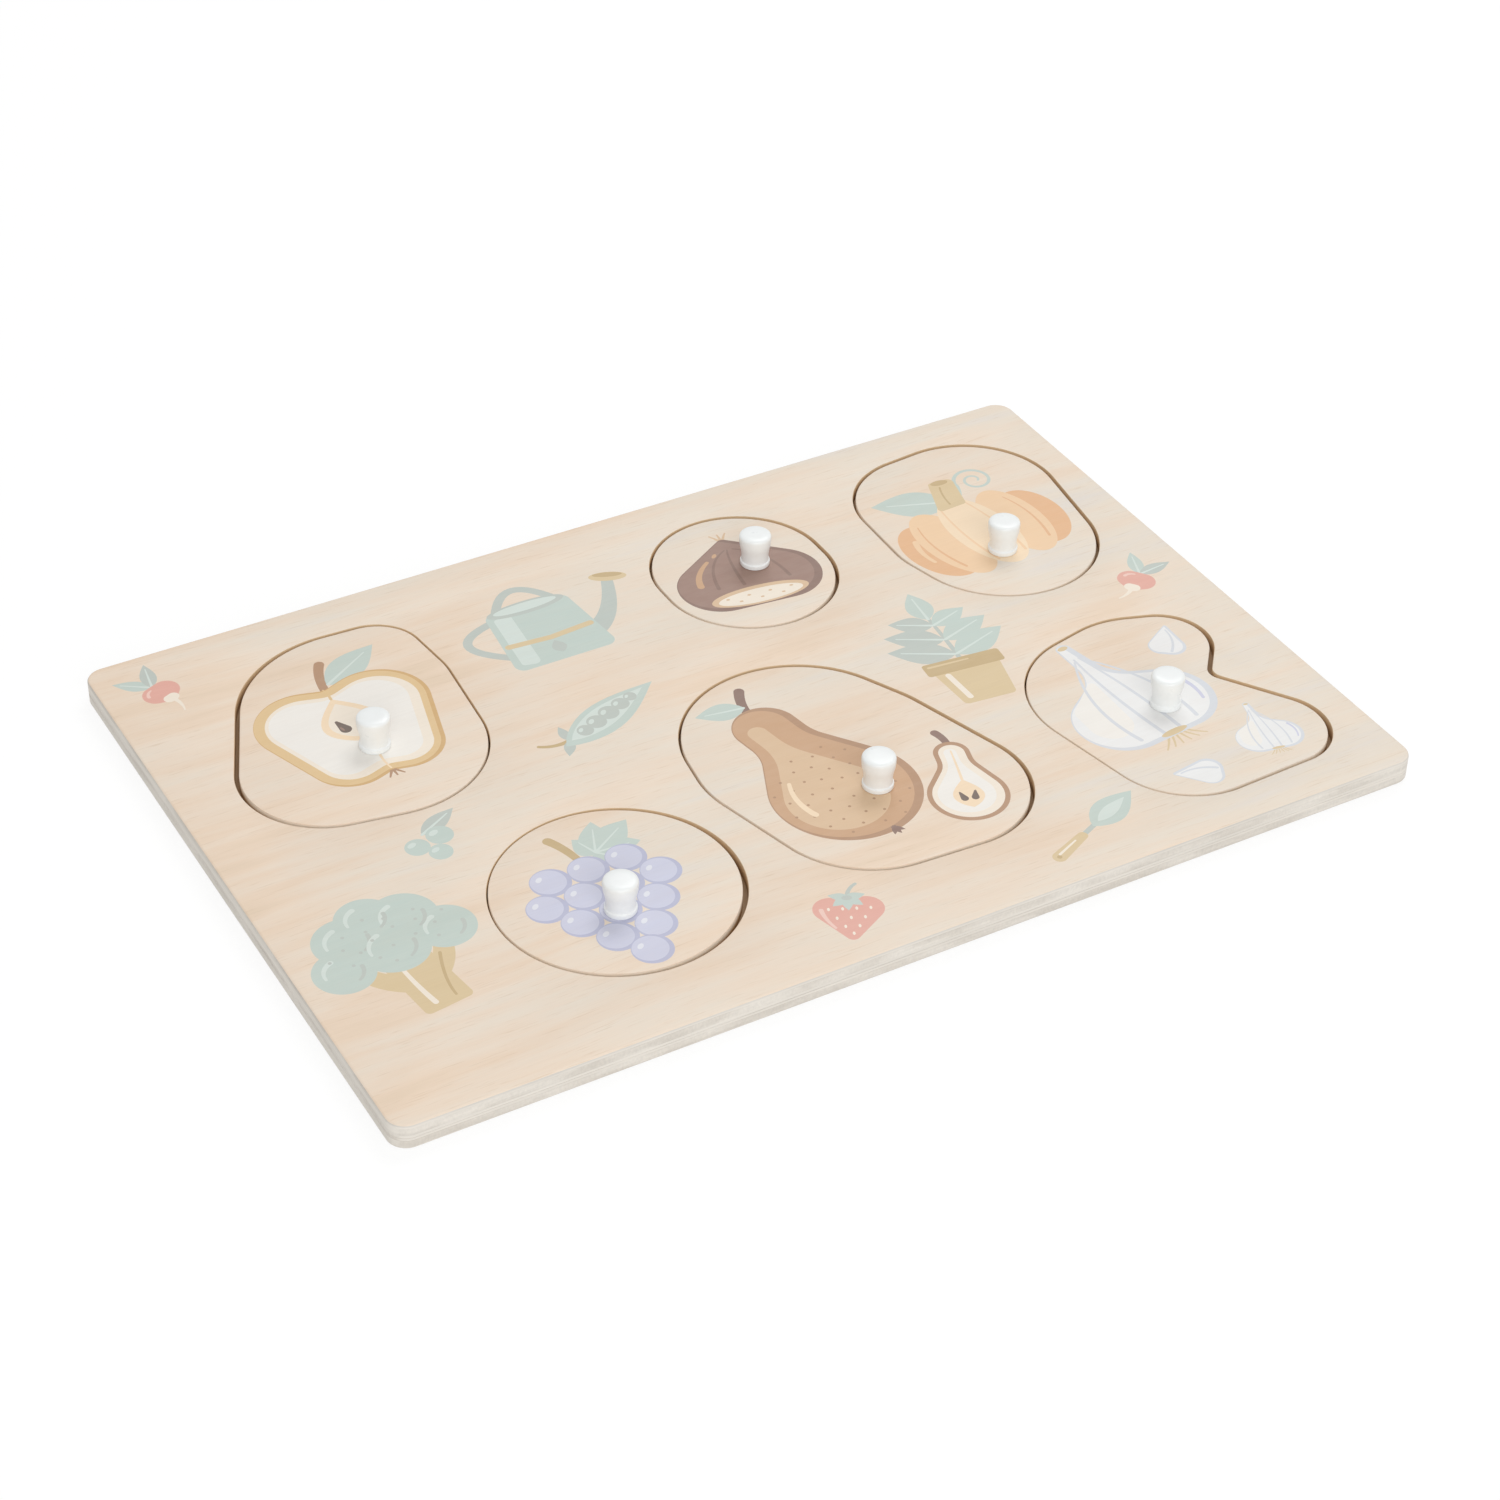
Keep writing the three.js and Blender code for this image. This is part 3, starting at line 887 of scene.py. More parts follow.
    def half_pear(self) -> None:
        """Draws a pear cut in half."""
        self.curve((1, 28), (1, 35), (-3, 41), Ink.BARK, 4.0, 5.0)
        self.discs(self.PEAR, Ink.UMBER)
        self.discs(self.PEAR, Ink.CREAM, -2.8)
        self.at(-0.8, 0.4).discs(self.PEAR, Ink.MILK, -6.5)
        self.leaf((0, -25), (0, -1), 17, Ink.BUTTER)
        for way in (-1, 1):
            self.at(way * 3.4, -15, way * -14).discs(((0, -2, 2.1), (0, 3.4, 0.6)), Ink.SEED)
        self.curve((0, -1), (0.8, 12), (1, 24), Ink.BUTTER, 1.6, 0.9)

    def garlic(self) -> None:
        """Draws a bulb of garlic."""
        bulb = ((8, -5, 13), (14, 19, -11), (0, 27, 2.2), (-14, 19, -11), (-8, -5, 13))
        for x in row(6, 1.7):
            self.curve((x * 0.6, -17), (x, -19.5), (x * 1.6, -21.6), Ink.STRAW, 0.8, 0.4)
        self.discs(bulb, Ink.FROST)
        self.at(-0.7, 0.5).discs(bulb, Ink.SNOW, -1.2)
        self.discs(((-11.5, -5, 6), (-4.5, 10.5, 1.2), (-13, 2, 3.6)), Ink.MILK)
        for way in (-1, 1):
            self.curve((way * 0.8, 22), (way * 3.6, 4), (way * 2.6, -16), Ink.FROST, 0.6, 1.2)
            self.curve((way * 1.4, 21), (way * 13, 4), (way * 9.5, -14.5), Ink.FROST, 0.6, 1.2)
        self.curve((15.2, 3), (18.6, -3), (16, -10), Ink.LILAC, 1.5, 0.9)
        self.oval(0, -16.6, 8.4, 2.2, Ink.STRAW)
        self.oval(0, 27.6, 3.2, 1.7, Ink.STRAW)

    def clove(self) -> None:
        """Draws a loose clove of garlic."""
        body = ((1.5, -2.5, 4.2), (-1.2, 7.2, 0.6), (-1.6, -2.8, 4))
        self.discs(body, Ink.FROST)
        self.at(-0.3, 0.2).discs(body, Ink.SNOW, -0.7)
        self.curve((-1, 5.5), (2.4, 1), (1.6, -5), Ink.FROST, 0.5, 0.9)

    def watering_can(self) -> None:
        """Draws a watering can."""
        self.curve((-11, 9), (-34, 4), (-14, -10), Ink.STONE, 2.8)
        self.curve((-10, 11), (0, 31), (10, 11), Ink.STONE, 2.8)
        self.curve((11, -9), (21, -6), (27.5, 12.5), Ink.STONE, 7.0, 3.6)
        self.oval(28.6, 14.2, 11.5, 4.6, Ink.STRAW, -20)
        self.oval(28.9, 15.1, 9.0, 2.4, Ink.TWIG, -20)
        self.discs(((13, -14, 3), (10.5, 9.5, 3), (-10.5, 9.5, 3), (-13, -14, 3)), Ink.SAGE)
        gleam = ((-9.5, -13.5, 1.8), (-7.5, 8.5, 1.6), (-10.3, 8.5, 1.2), (-12.3, -13.5, 1.2))
        self.discs(gleam, Ink.MIST)
        self.oval(0, 11.6, 25, 6.2, Ink.STONE)
        self.oval(0, 12.0, 20.5, 3.9, Ink.MIST)
        self.stroke([(-13.2, -4.5), (0, -5.6), (13.2, -4.5)], Ink.STRAW, 2.2)
        self.leaf((0, -13.6), (0, -7.4), 4.4, Ink.STONE)

    def pea(self, x: float, y: float, radius: float, ink: Ink) -> None:
        """Draws a pea with a gleam."""
        self.oval(x, y, 2 * radius, 2 * radius, ink)
        self.oval(x - 0.3 * radius, y + 0.4 * radius, 0.8 * radius, 0.5 * radius, Ink.MIST, 25)

    def pea_pod(self) -> None:
        """Draws an open pea pod."""
        self.curve((-16, 1), (-21, 2), (-23.5, 6), Ink.TWIG, 1.6, 1.1)
        self.leaf((-15.6, 1), (-21.5, -3.6), 3.4, Ink.STONE)
        self.leaf((-15.8, 1), (-13, 7.6), 3.2, Ink.STONE)
        self.leaf((-18.5, 0), (20.5, 0), 13, Ink.SAGE)
        self.leaf((-15.5, 0.5), (16.5, 0.5), 8.6, Ink.MIST)
        for x, radius in ((-9.4, 2.5), (-4.3, 3.0), (1.2, 3.1), (6.5, 2.7), (10.9, 2.0)):
            self.pea(x, 0.5, radius, Ink.STONE)

    def peas(self) -> None:
        """Draws three peas and a leaf."""
        self.leaf((-2, 3), (10, 9.5), 5.6, Ink.STONE, Ink.MIST)
        for x, y, radius in ((-5, -1, 3.4), (2.2, 1, 3.7), (-0.4, -5.4, 3.2)):
            self.pea(x, y, radius, Ink.SAGE)

    def potted_herb(self) -> None:
        """Draws a herb in a clay pot."""
        self.curve((0, -3), (0.6, 10), (0, 24), Ink.STONE, 1.6, 1.0)
        for level, reach, width in ((2, 18, 10), (9.5, 16, 9), (17, 12, 7.5)):
            for way, ink in ((-1, Ink.STONE), (1, Ink.SAGE)):
                self.leaf((0, level), (way * reach, level + 0.42 * reach), width, ink, Ink.MIST)
        self.leaf((0, 20), (0, 34), 8, Ink.SAGE, Ink.MIST)
        self.discs(((6.6, -19, 1.5), (9.3, -4, 1), (-9.3, -4, 1), (-6.6, -19, 1.5)), Ink.STRAW)
        self.discs(((-5.2, -17.6, 0.9), (-6.6, -6.5, 0.9)), Ink.CREAM)
        self.discs(((11, -4.4, 1), (11, -0.6, 1), (-11, -0.6, 1), (-11, -4.4, 1)), Ink.TWIG)
        self.stroke([(-10.3, -1.2), (2, -1.2)], Ink.STRAW, 0.9, 0.6)

    def broccoli(self) -> None:
        """Draws a head of broccoli."""
        self.discs(((5.2, -19, 1.5), (5.4, 4, 1), (-5.4, 4, 1), (-5.2, -19, 1.5)), Ink.STRAW)
        for way in (-1, 1):
            self.curve((way * 3, -9), (way * 10, -5), (way * 12, 4), Ink.STRAW, 6.5, 4.5)
        self.curve((-2.6, -17.5), (-3.2, -9), (-2.4, 0), Ink.CREAM, 1.5, 1.0)
        self.curve((2.9, -18), (3.3, -12), (8, -3), Ink.TWIG, 0.7, 0.9)
        crown = ((14.5, 4.5, 8), (-14.5, 4.5, 8), (8, 13.5, 9), (-8, 13.5, 9), (0, 5.5, 9.5), (0, 18, 8))
        for x, y, radius in crown:
            self.oval(x, y, 2 * radius, 2 * radius, Ink.SAGE)
        for x, y, radius in crown:
            self.stroke(arc((x, y, radius * 0.62), 1.75, 1.35, 8), Ink.MIST, 1.5, 0.8)
            self.stroke(arc((x, y, radius * 0.6), -1.2, 1.1, 8), Ink.STONE, 0.8, 1.2)
        for x, y in spread(21, 3.6):
            self.oval(1.05 * x, 9 + 0.6 * y, 1.0, 1.0, Ink.STONE)

    def radish(self) -> None:
        """Draws a radish with two leaves."""
        for way, ink in ((-1, Ink.SAGE), (1, Ink.STONE)):
            self.leaf((0, 4), (way * 7, 15), 5.4, ink, Ink.MIST)
        self.curve((0, -5), (0.4, -9), (-2, -12.5), Ink.CREAM, 1.8, 0.5)
        self.discs(((2, 0, 4.6), (-2, 0, 4.6), (0, -5.4, 1.2)), Ink.CORAL)
        self.discs(((0.9, -4.6, 1.9), (-0.9, -4.6, 1.9), (0, -6, 0.8)), Ink.CREAM)
        self.curve((-4.4, 1), (-3.8, 2.8), (-1.6, 3.1), Ink.ROSE, 1.2, 0.7)

    def strawberry(self) -> None:
        """Draws a strawberry."""
        self.curve((0, 7), (0.4, 11), (3, 13), Ink.STONE, 1.3, 1.0)
        self.discs(((5, 2.5, 5), (-5, 2.5, 5), (0, -8.5, 2)), Ink.CORAL)
        self.curve((-7.6, 2.4), (-7, -1.5), (-4.4, -5.2), Ink.ROSE, 1.4, 0.8)
        for y, count in ((2.6, 4), (-1.2, 3), (-4.8, 2), (-7.8, 1)):
            for x in row(count, 3.9):
                self.oval(x + 0.3, y, 0.8, 1.4, Ink.CREAM)
        for turn in row(5, 52):
            self.at(0, 7.2, turn).leaf((0, 0.8), (0, -5.4), 3.2, Ink.SAGE)
        self.oval(0, 7.2, 3, 2, Ink.STONE)

    def trowel(self) -> None:
        """Draws a garden trowel."""
        self.stroke([(-4, 0), (5, 0)], Ink.STONE, 1.8)
        self.leaf((1, 0), (23, 0), 11, Ink.SAGE)
        self.leaf((4, 0), (19, 0), 4.4, Ink.MIST)
        self.discs(((-17.5, 0, 2.3), (-4.8, 0, 1.7)), Ink.STRAW)
        self.stroke([(-16.5, 0.6), (-8, 0.5)], Ink.CREAM, 0.9, 0.6)
        self.oval(-17.6, 0, 1.6, 1.6, Ink.TWIG)


Motif = tuple[Callable[[Garden], None], float, float, float, float]


def printed_shapes(motifs: Iterable[Motif], zero: Point) -> list[Shape]:
    """Draws the print of a sheet.

    Args:
        motifs: its motifs, each with its place, turn in degrees and size.
        zero: point from which the places are counted.

    Returns:
        The shapes of the print.
    """
    sheet = Garden([], zero)
    for draw, *place in motifs:
        draw(sheet.at(*place))
    return sheet.shapes


@dataclass(frozen=True)
class Cut:
    """A loose piece as it is cut out of the sheet, seen from the axis of its peg."""

    name: str
    lean: Point  # how far it has slid to the right and the back, as a share of the gap
    discs: tuple[Disc, ...]
    motifs: tuple[Motif, ...]

    def axis(self) -> Point:
        """Gives the axis of its peg, from the CAD model."""
        low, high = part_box(f"{self.name}_peg")
        return tuple(((low + high) / (2 * MM)).xy)

    def recess(self, gap: float, grow: float = 0.0) -> list[Point]:
        """Gives the outline of its recess, grown by an amount, for a gap that is even all round."""
        x, y = (place - lean * gap for place, lean in zip(self.axis(), self.lean))
        return [(px + x, py + y) for px, py in outline(self.discs, gap + grow)]


LOOSE_CUTS = (
    Cut(
        "apple", (0.45, 0),
        ((0.5, -0.5, 29.5), (4, 23.5, 28), (17, 38, 13.5), (6.5, 16.5, 35.5), (-14.5, -3.5, 24)),
        ((Garden.half_apple, -1.2, 9.5, 3, 0.97),),
    ),
    Cut("chestnut", (-0.2, 0), ((-5, -5, 25), (-5, 0.5, 25)), ((Garden.chestnut, -5, -3, -6, 0.96),)),
    Cut(
        "pumpkin", (-0.2, -0.2), ((2, 4.5, 28), (7, 29, 26.5), (-3.5, 30.5, 24), (-3, 12, 25)),
        ((Garden.pumpkin, 0.3, 11.2, 4, 1.0),),
    ),
    Cut("grape", (-0.45, 0.45), ((2.5, 7.7, 32.3),), ((Garden.grapes, 0, 0, 0, 1.0),)),
    Cut(
        "pear", (-0.25, 0.1),
        ((13, -8, 25), (-1.5, 18, 31), (-7.5, 28, 32), (-9, 20.5, 31.5), (-6, -4, 28)),
        ((Garden.pear, -11, 15, 10, 0.94), (Garden.half_pear, 21, -8, -16, 0.5)),
    ),
    Cut(
        "garlic", (-0.5, 0.1),
        (
            (19, -23, 15), (23.5, 5.5, -4.5), (15, 23.5, 13.5),
            (4, 12.5, 27.5), (-5, 9.5, 28.5), (-5.5, -16, 23),
        ),
        (
            (Garden.garlic, -7, 6, 7, 1.05), (Garden.garlic, 17, -23, -10, 0.46),
            (Garden.clove, 17.5, 24, -38, 0.95), (Garden.clove, -9, -29, 62, 0.95),
        ),
    ),
)

BOARD_MOTIFS = (
    (Garden.watering_can, -29, 62, 0, 0.96),
    (Garden.pea_pod, -32, 17, 24, 0.95),
    (Garden.potted_herb, 66, -6, -6, 0.98),
    (Garden.broccoli, -122, -48, 8, 1.02),
    (Garden.radish, -134, 84, 24, 0.85),
    (Garden.radish, 131, 2, -52, 0.85),
    (Garden.strawberry, -17, -86, -24, 0.92),
    (Garden.trowel, 56, -86, 24, 0.86),
    (Garden.peas, -96, -9, 0, 1.0),
)


class Facing(Enum):
    """The side to which a flat face looks."""

    UP = 1
    DOWN = -1


class Face(NamedTuple):
    """A face of a mesh."""

    corners: tuple[int, ...]
    finish: Material
    round: bool


@dataclass
class Solid:
    """A closed mesh in the making, in millimetres."""

    name: str
    origin: Place = (0.0, 0.0, 0.0)  # point from which its rings are counted
    points: list[Vector] = field(default_factory=list)
    faces: list[Face] = field(default_factory=list)

    def ring(self, points: Iterable[Point], level: float) -> list[int]:
        """Adds a ring of points at one level.

        Args:
            points: the points, counter-clockwise.
            level: their height.

        Returns:
            The numbers of the points.
        """
        x, y, z = self.origin
        first = len(self.points)
        self.points += [Vector((px + x, py + y, level + z)) for px, py in points]
        return list(range(first, len(self.points)))

    def circles(self, sides: int, *sizes: Point) -> list[list[int]]:
        """Adds round rings, each of a radius at a level."""
        return [self.ring(circle(radius, sides), level) for radius, level in sizes]

    def loft(self, rings: Sequence[list[int]], finish: Material) -> None:
        """Joins rings by bands of faces.

        Args:
            rings: the rings. From the lowest up, the bands look outwards, and otherwise inwards.
            finish: their finish.
        """
        for one, two in zip(rings, rings[1:]):
            for corners in zip(one, one[1:] + one[:1], two[1:] + two[:1], two, strict=True):
                self.faces.append(Face(corners, finish, True))

    def cap(
        self,
        rim: list[int],
        facing: Facing,
        finish: Material,
        holes: Sequence[list[int]] = (),
        shapes: Sequence[Shape] = (),
        inks: dict[Ink, Material] | None = None,
    ) -> None:
        """Closes a ring with a flat face, bare or printed.

        Args:
            rim: the ring.
            facing: the side to which the face looks.
            finish: finish of the bare face.
            holes: rings in it that stay open.
            shapes: shapes printed on it.
            inks: finish of each ink.
        """
        rings = [rim, *holes]
        borders = [[tuple(self.points[i].xy) for i in ring] for ring in rings]
        borders += [shape.points for shape in shapes]
        flat, areas = [], []
        for border in borders:
            areas.append(list(range(len(flat), len(flat) + len(border))))
            flat += [Vector(point) for point in border]
        spots, _, triangles, sources, _, covers = delaunay_2d_cdt(
            flat, [], areas, TRIANGLES_INSIDE, WELD_DISTANCE
        )
        known = [i for ring in rings for i in ring]
        level = self.points[rim[0]].z
        numbers: dict[int, int] = {}
        for triangle, cover in zip(triangles, covers):
            if 0 not in cover or any(0 < area < len(rings) for area in cover):
                continue
            for spot in triangle:
                if spot not in numbers:
                    new = len(self.points)
                    numbers[spot] = next((known[i] for i in sources[spot] if i < len(known)), new)
                    if numbers[spot] == new:
                        self.points.append(Vector((*spots[spot], level)))
            top = max(cover) - len(rings)
            worn = inks[shapes[top].ink] if top >= 0 else finish
            corners = tuple(numbers[spot] for spot in triangle)[::facing.value]
            self.faces.append(Face(corners, worn, False))

    def built(self, body: str, node: str) -> Object:
        """Makes the mesh, in the place of a CAD node.

        Args:
            body: the CAD body on which it rides.
            node: the CAD node that it stands for.

        Returns:
            The new object.
        """
        worn = list(dict.fromkeys(face.finish for face in self.faces))
        mesh = bpy.data.meshes.new(self.name)
        mesh.from_pydata([p * MM for p in self.points], [], [face.corners for face in self.faces])
        for finish in worn:
            mesh.materials.append(finish)
        mesh.polygons.foreach_set("material_index", [worn.index(face.finish) for face in self.faces])
        mesh.polygons.foreach_set("use_smooth", [face.round for face in self.faces])
        mesh.set_sharp_from_angle(angle=SHARP_ANGLE)
        piece = linked(self.name, mesh)
        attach(piece, body)
        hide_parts(node)
        return piece


@dataclass
class Board:
    """The tray board with its recesses, and the base board that is glued under it."""

    cuts: Sequence[Cut]
    finishes: Finishes
    corner_radius: float = 5.5
    edge_round: float = 0.8
    edge_steps: int = 6
    glue_line: float = 0.08  # width of the small chamfers along the glue line
    recess_gap: float = 0.9  # round a piece that lies in the middle of its recess
    recess_round: float = 0.22
    recess_steps: int = 3

    def rim(self, inset: float) -> list[Point]:
        """Gives the outline of the board, moved inwards by an amount."""
        x, y = (side / MM - self.corner_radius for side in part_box("tray_board")[1].xy)
        return outline([(x * way_x, y * way_y, self.corner_radius) for way_x, way_y in CORNERS], -inset)

    def tray(self) -> Object:
        """Builds the tray board with its print and its recesses.

        Returns:
            The new object.
        """
        bottom, top = levels("tray_board")
        finishes = self.finishes
        solid = Solid("tray")
        foot = solid.ring(self.rim(self.glue_line), bottom)
        wall = solid.ring(self.rim(0), bottom + self.glue_line)
        rounded = rounding(self.edge_round, self.edge_steps)
        edge = [solid.ring(self.rim(inset), top - below) for inset, below in rounded]
        worn = self.edge_steps // 2
        solid.loft([foot, wall, *edge[:worn + 1]], finishes.edge)
        solid.loft(edge[worn:], finishes.face)
        mouth = rounding(self.recess_round, self.recess_steps)[::-1]
        mouths, floors = [], []
        for cut in self.cuts:
            lip = [solid.ring(cut.recess(self.recess_gap, grow), top - below) for grow, below in mouth]
            floor = solid.ring(cut.recess(self.recess_gap), bottom)
            solid.loft(lip[:2], finishes.face)
            solid.loft([*lip[1:], floor], finishes.recess)
            mouths.append(lip[0])
            floors.append(floor)
        shapes = printed_shapes(BOARD_MOTIFS, (0.0, 0.0))
        solid.cap(edge[-1], Facing.UP, finishes.face, mouths, shapes, finishes.inks)
        solid.cap(foot, Facing.DOWN, finishes.back, floors)
        return solid.built("board", "tray_board")

    def base(self) -> Object:
        """Builds the base board, which is the floor of the recesses.

        Returns:
            The new object.
        """
        bottom, top = levels("base_board")
        solid = Solid("base")
        rounded = rounding(self.edge_round, self.edge_steps)[::-1]
        edge = [solid.ring(self.rim(inset), bottom + above) for inset, above in rounded]
        wall = solid.ring(self.rim(0), top - self.glue_line)
        head = solid.ring(self.rim(self.glue_line), top)
        solid.loft([*edge, wall, head], self.finishes.edge)
        solid.cap(edge[0], Facing.DOWN, self.finishes.back)
        solid.cap(head, Facing.UP, self.finishes.floor)
        return solid.built("board", "base_board")


@dataclass
class Screw:
    """A countersunk wood screw that holds a peg, with its head downwards."""

    cut: Cut
    finishes: Finishes
    head_radius: float = 2.5
    head_rim: float = 0.12  # height of the head's straight rim
    shank_radius: float = 1.25  # over the thread
    core_radius: float = 0.92  # between the turns of the thread
    pitch: float = 1.1
    crest: float = 0.32  # half of a turn's width at its root, as a share of the pitch
    tip_length: float = 2.0
    tip_radius: float = 0.04
    drive_length: float = 2.6  # of the cross in the head
    drive_width: float = 0.5
    drive_depth: float = 0.7
    sides: int = 32
    rings_a_turn: int = 8

    def cross(self) -> list[Point]:
        """Gives the outline of the cross in the head.

        Returns:
            Its points, counter-clockwise.
        """
        reach, half = self.drive_length / 2, self.drive_width / 2
        arm = [(reach, -half), (reach, half), (half, half)]
        turns = [Matrix.Rotation(QUARTER_TURN * i, 2) for i in range(4)]
        return [tuple(turn @ Vector(point)) for turn in turns for point in arm]

    def thread(self, level: float, length: float) -> list[Point]:
        """Gives the ring of the thread at one level.

        Args:
            level: height over the underside of the head.
            length: length of the screw.

        Returns:
            The points of the ring.
        """
        left = min(1.0, (length - level) / self.tip_length)
        points = []
        for x, y in circle(1, self.sides):
            phase = (level / self.pitch - math.atan2(y, x) / FULL_TURN) % 1
            height = max(0.0, 1 - abs(phase - 0.5) / self.crest)
            radius = left * (self.core_radius + (self.shank_radius - self.core_radius) * height)
            points.append((x * radius, y * radius))
        return points

    def build(self) -> Object:
        """Builds the screw.

        Returns:
            The new object.
        """
        node = f"{self.cut.name}_screw"
        bottom, top = levels(node)
        length = top - bottom
        zinc = self.finishes.zinc
        solid = Solid(f"{self.cut.name}_wood_screw", (*self.cut.axis(), bottom))
        neck = self.head_radius - self.core_radius + self.head_rim
        wide = self.head_radius
        head = solid.circles(self.sides, (wide, 0), (wide, self.head_rim), (self.core_radius, neck))
        step = self.pitch / self.rings_a_turn
        turns = [neck + i * step for i in range(1, int((length - neck) / step))]
        coils = [solid.ring(self.thread(level, length), level) for level in turns]
        [tip] = solid.circles(self.sides, (self.tip_radius, length))
        solid.loft([*head, *coils, tip], zinc)
        solid.cap(tip, Facing.UP, zinc)
        mouth, floor = (solid.ring(self.cross(), level) for level in (0, self.drive_depth))
        solid.loft([floor, mouth], zinc)
        solid.cap(head[0], Facing.DOWN, zinc, [mouth])
        solid.cap(floor, Facing.DOWN, zinc)
        return solid.built(self.cut.name, node)


@dataclass
class Peg:
    """A peg, turned in the shape of a spool."""

    cut: Cut
    finishes: Finishes
    foot_radius: float = 4.3
    foot_height: float = 1.6
    foot_round: float = 0.8  # under the foot
    waist_radius: float = 3.9
    waist_level: float = 2.5
    head_radius: float = 4.65
    head_depth: float = 1.4  # from the top down to the widest line of the head
    crown_radius: float = 3.9  # where the rounded shoulder runs out into the top
    top_radius: float = 0.2  # of the ring that the top ends in
    hole_radius: float = 1.55
    hole_depth: float = 5.6
    sides: int = 72

    def profile(self, height: float) -> list[Point]:
        """Gives the profile from the hole, round the foot, up to the top.

        Args:
            height: height of the peg.

        Returns:
            Radius and level of each ring.
        """
        foot, waist, head = self.foot_radius, self.waist_radius, self.head_radius
        middle = self.foot_height / 2
        neck = (self.foot_height + self.waist_level) / 2
        shoulder = height - self.head_depth
        flare = (self.waist_level + shoulder) / 2
        curves = (
            ((foot - self.foot_round, 0), (foot, 0), (foot, 0), (foot, middle)),
            ((foot, middle), (foot, neck), (waist, middle), (waist, self.waist_level)),
            ((waist, self.waist_level), (waist, flare), (head, flare), (head, shoulder)),
            ((head, shoulder), (head, height), (self.crown_radius, height), (self.top_radius, height)),
        )
        points = [(self.hole_radius, self.hole_depth), (self.hole_radius, 0), curves[0][0]]
        for a, b, c, d in (map(Vector, curve) for curve in curves):
            for s in CURVE_SHARES[1:]:
                points.append(tuple(
                    a * (1 - s) ** 3 + b * 3 * s * (1 - s) ** 2 + c * 3 * s ** 2 * (1 - s) + d * s ** 3
                ))
        return points

    def build(self) -> Object:
        """Builds the peg.

        Returns:
            The new object.
        """
        node = f"{self.cut.name}_peg"
        bottom, top = levels(node)
        solid = Solid(f"{self.cut.name}_knob", (*self.cut.axis(), bottom))
        rings = solid.circles(self.sides, *self.profile(top - bottom))
        solid.loft(rings, self.finishes.paint)
        solid.cap(rings[0], Facing.DOWN, self.finishes.paint)
        solid.cap(rings[-1], Facing.UP, self.finishes.paint)
        return solid.built(self.cut.name, node)


@dataclass
class LoosePiece:
    """A loose piece with its print, its peg and its screw."""

    cut: Cut
    finishes: Finishes
    edge_round: float = 0.3
    edge_steps: int = 4
    screw_head_radius: float = 2.8  # of the hole round the screw's head
    screw_radius: float = 1.55  # of the hole round its shank
    screw_set: float = 0.3  # how far the screw's head lies inside the underside
    hole_sides: int = 32

    def plate(self) -> Object:
        """Builds the printed plate.

        Returns:
            The new object.
        """
        cut, finishes = self.cut, self.finishes
        node = f"{cut.name}_piece"
        bottom, top = levels(node)
        solid = Solid(f"{cut.name}_plate", (*cut.axis(), 0.0))
        rounded = rounding(self.edge_round, self.edge_steps)
        edge = [(outline(cut.discs, -inset), below) for inset, below in rounded]
        lower = [solid.ring(points, bottom + above) for points, above in reversed(edge)]
        upper = [solid.ring(points, top - below) for points, below in edge]
        solid.loft([*lower, upper[0]], finishes.cut)
        solid.loft(upper, finishes.face)
        wide, narrow = self.screw_head_radius, self.screw_radius
        sink = bottom + self.screw_set
        cone = ((narrow, sink + wide - narrow), (wide, sink))
        hole = solid.circles(self.hole_sides, (narrow, top), *cone, (wide, bottom))
        solid.loft(hole, finishes.back)
        shapes = printed_shapes(cut.motifs, cut.axis())
        solid.cap(upper[-1], Facing.UP, finishes.face, [hole[0]], shapes, finishes.inks)
        solid.cap(lower[0], Facing.DOWN, finishes.back, [hole[-1]])
        return solid.built(cut.name, node)

    def build(self) -> list[Object]:
        """Builds the plate, the peg and the screw."""
        return [self.plate(), *(part(self.cut, self.finishes).build() for part in (Peg, Screw))]


@dataclass(frozen=True)
class Lamp:
    """A large soft lamp that looks at the middle of the board."""

    name: str
    place: Place
    size: Point
    power: float

    def hang(self) -> None:
        """Hangs the lamp in its place."""
        data = bpy.data.lights.new(self.name, "AREA")
        data.shape = "RECTANGLE"
        data.size, data.size_y = (side * MM for side in self.size)
        data.energy = self.power
        linked(self.name, data).matrix_world = looking(self.place, (0.0, 0.0, 0.0))


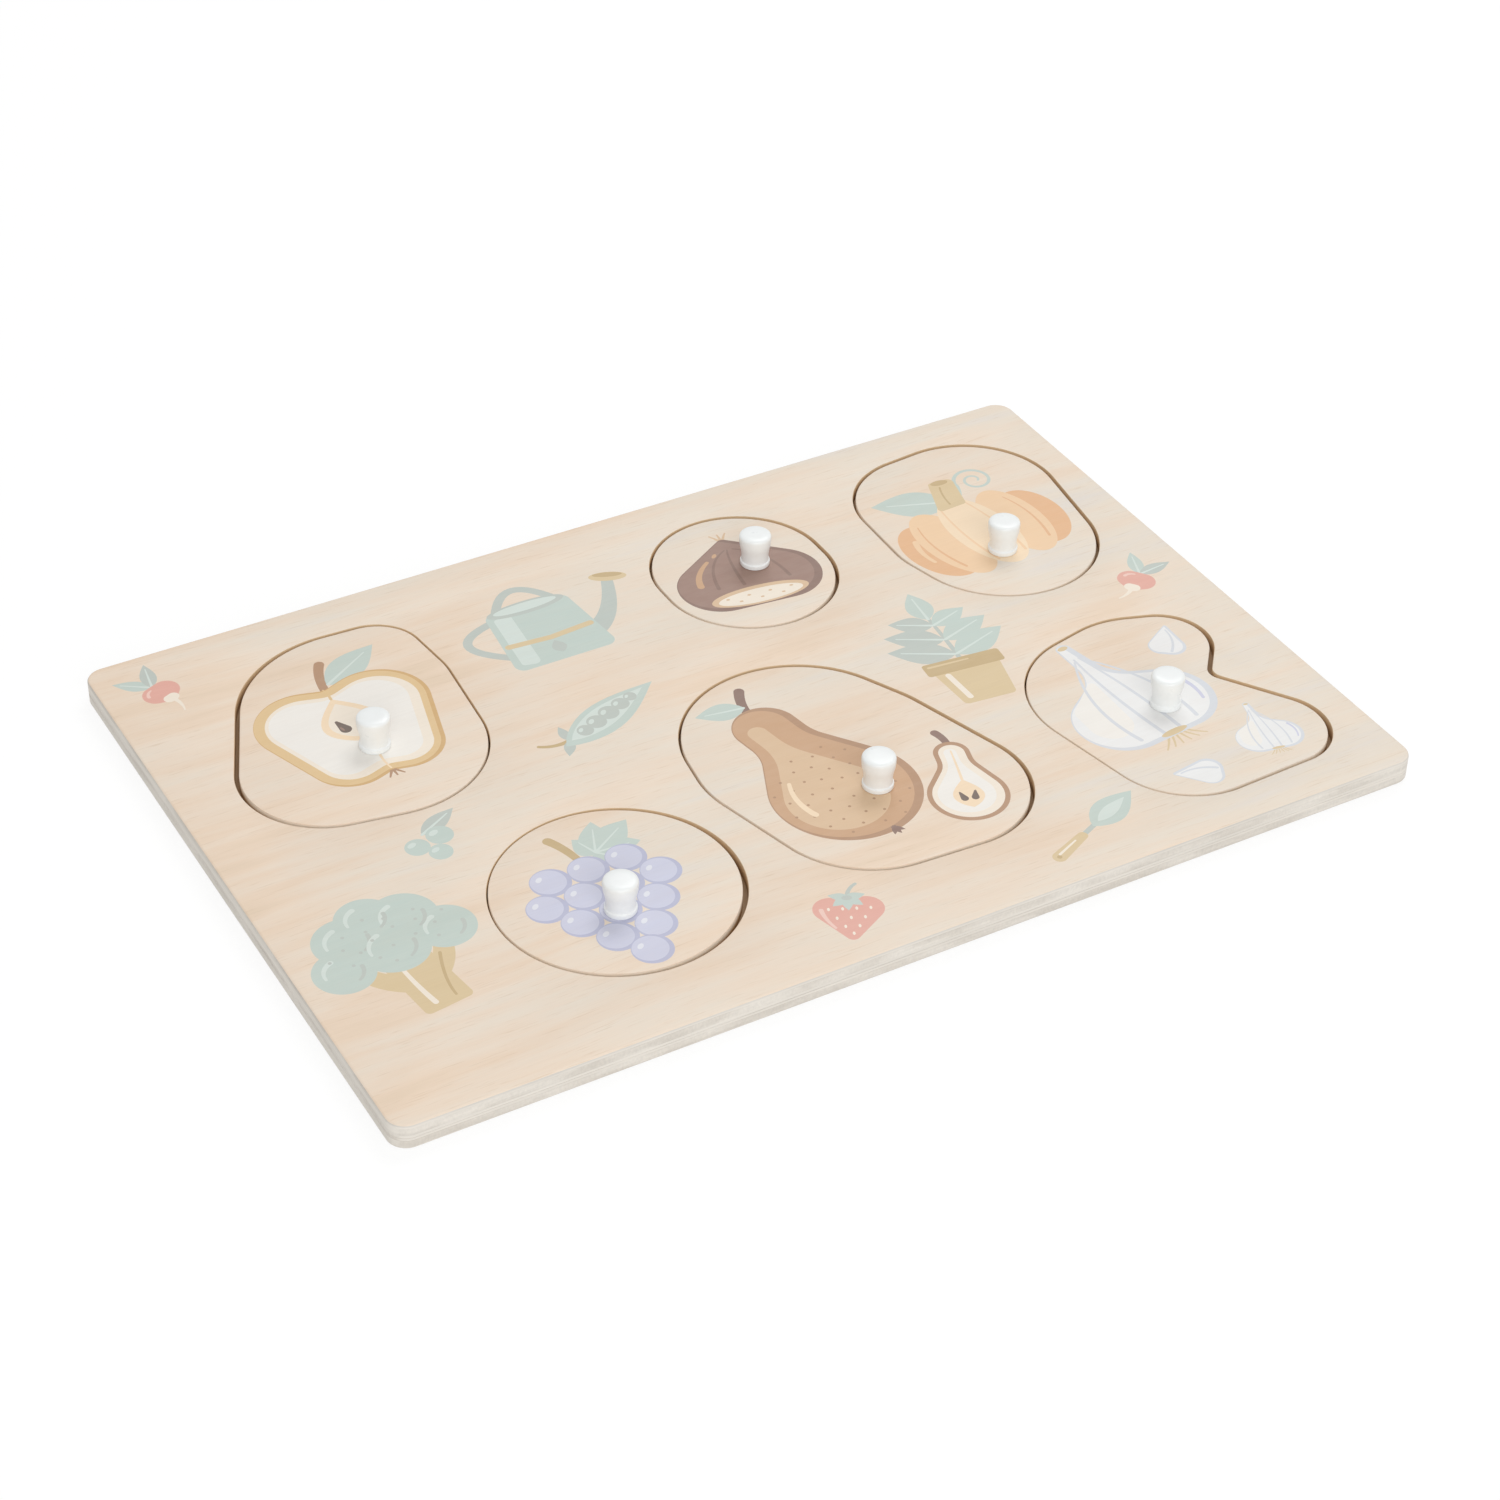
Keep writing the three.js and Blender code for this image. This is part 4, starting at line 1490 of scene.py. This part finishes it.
@dataclass
class Studio:
    """A white floor, soft light from all round and the camera."""

    eye: Place = (-361.9, -632.4, 555.3)
    target: Place = (-5.7, -14.9, 7.5)
    roll: float = 0.936
    lens: float = 80.76
    sensor: float = 36.0
    lamps: tuple[Lamp, ...] = (
        Lamp("key_lamp", (700.0, 600.0, 1300.0), (1000.0, 800.0), 7.5),
        Lamp("fill_lamp", (-450.0, -1500.0, 900.0), (1500.0, 1100.0), 14.0),
    )
    sky: float = 0.54  # strength of the even light from all round
    floor_reach: float = 4000.0
    floor_gap: float = 0.05  # between the floor and the board
    floor_pale: str = "#fbfbfa"
    floor_fleck: str = "#f6f6f5"
    floor_grain: Noise = Noise((900, 900, 900))
    floor_glow: float = 0.8  # share of the floor's white that no shadow takes away
    glow_strength: float = 1.04

    def camera(self) -> None:
        """Places the camera."""
        data = bpy.data.cameras.new("camera")
        data.lens = self.lens
        data.sensor_width = self.sensor
        camera = linked("camera", data)
        roll = Matrix.Rotation(math.radians(self.roll), 4, "Z")
        camera.matrix_world = looking(self.eye, self.target) @ roll
        bpy.context.scene.camera = camera

    def world(self) -> None:
        """Sets a white world that lights the board evenly."""
        world = bpy.data.worlds.new("white_studio")
        world.use_nodes = True
        bpy.context.scene.world = world
        nodes = Nodes(world.node_tree)
        strength = self.sky + (1 - self.sky) * nodes.seen_directly()
        nodes.feed(world.node_tree.nodes["Background"], {"Color": WHITE, "Strength": strength})

    def floor(self) -> None:
        """Lays the pale floor, which keeps a faint shadow."""
        reach, level = self.floor_reach * MM, -self.floor_gap * MM
        mesh = bpy.data.meshes.new("floor")
        mesh.from_pydata([(x * reach, y * reach, level) for x, y in CORNERS], [], [(0, 1, 2, 3)])
        floor = linked("floor", mesh)
        paper = Surface("white_paper")
        mottle = paper.noise(paper.places(), self.floor_grain)
        pale = paper.mix(mottle, self.floor_pale, self.floor_fleck)
        matt = paper.node("ShaderNodeBsdfDiffuse", {}, {"Color": pale})
        glow = paper.node("ShaderNodeEmission", {}, {"Strength": self.glow_strength})
        share = paper.seen_directly() * self.floor_glow
        mixed = paper.node("ShaderNodeMixShader", {}, {0: share, 1: matt, 2: glow})
        paper.feed(paper.tree.nodes["Material Output"], {"Surface": mixed})
        mesh.materials.append(paper.material)

    def build(self) -> None:
        """Sets up everything round the puzzle."""
        self.camera()
        for lamp in self.lamps:
            lamp.hang()
        self.world()
        self.floor()
        bpy.context.scene.view_settings.view_transform = "Standard"


def main() -> None:
    """Builds the puzzle and its studio, and reports each piece."""
    logging.basicConfig(level=logging.INFO, format="%(name)s: %(message)s")
    Studio().build()
    finishes = Finishes()
    board = Board(LOOSE_CUTS, finishes)
    pieces = [board.base(), board.tray()]
    for cut in LOOSE_CUTS:
        pieces += LoosePiece(cut, finishes).build()
    for piece in pieces:
        log.info("%s: %d faces", piece.name, len(piece.data.polygons))


if __name__ == "__main__":
    main()
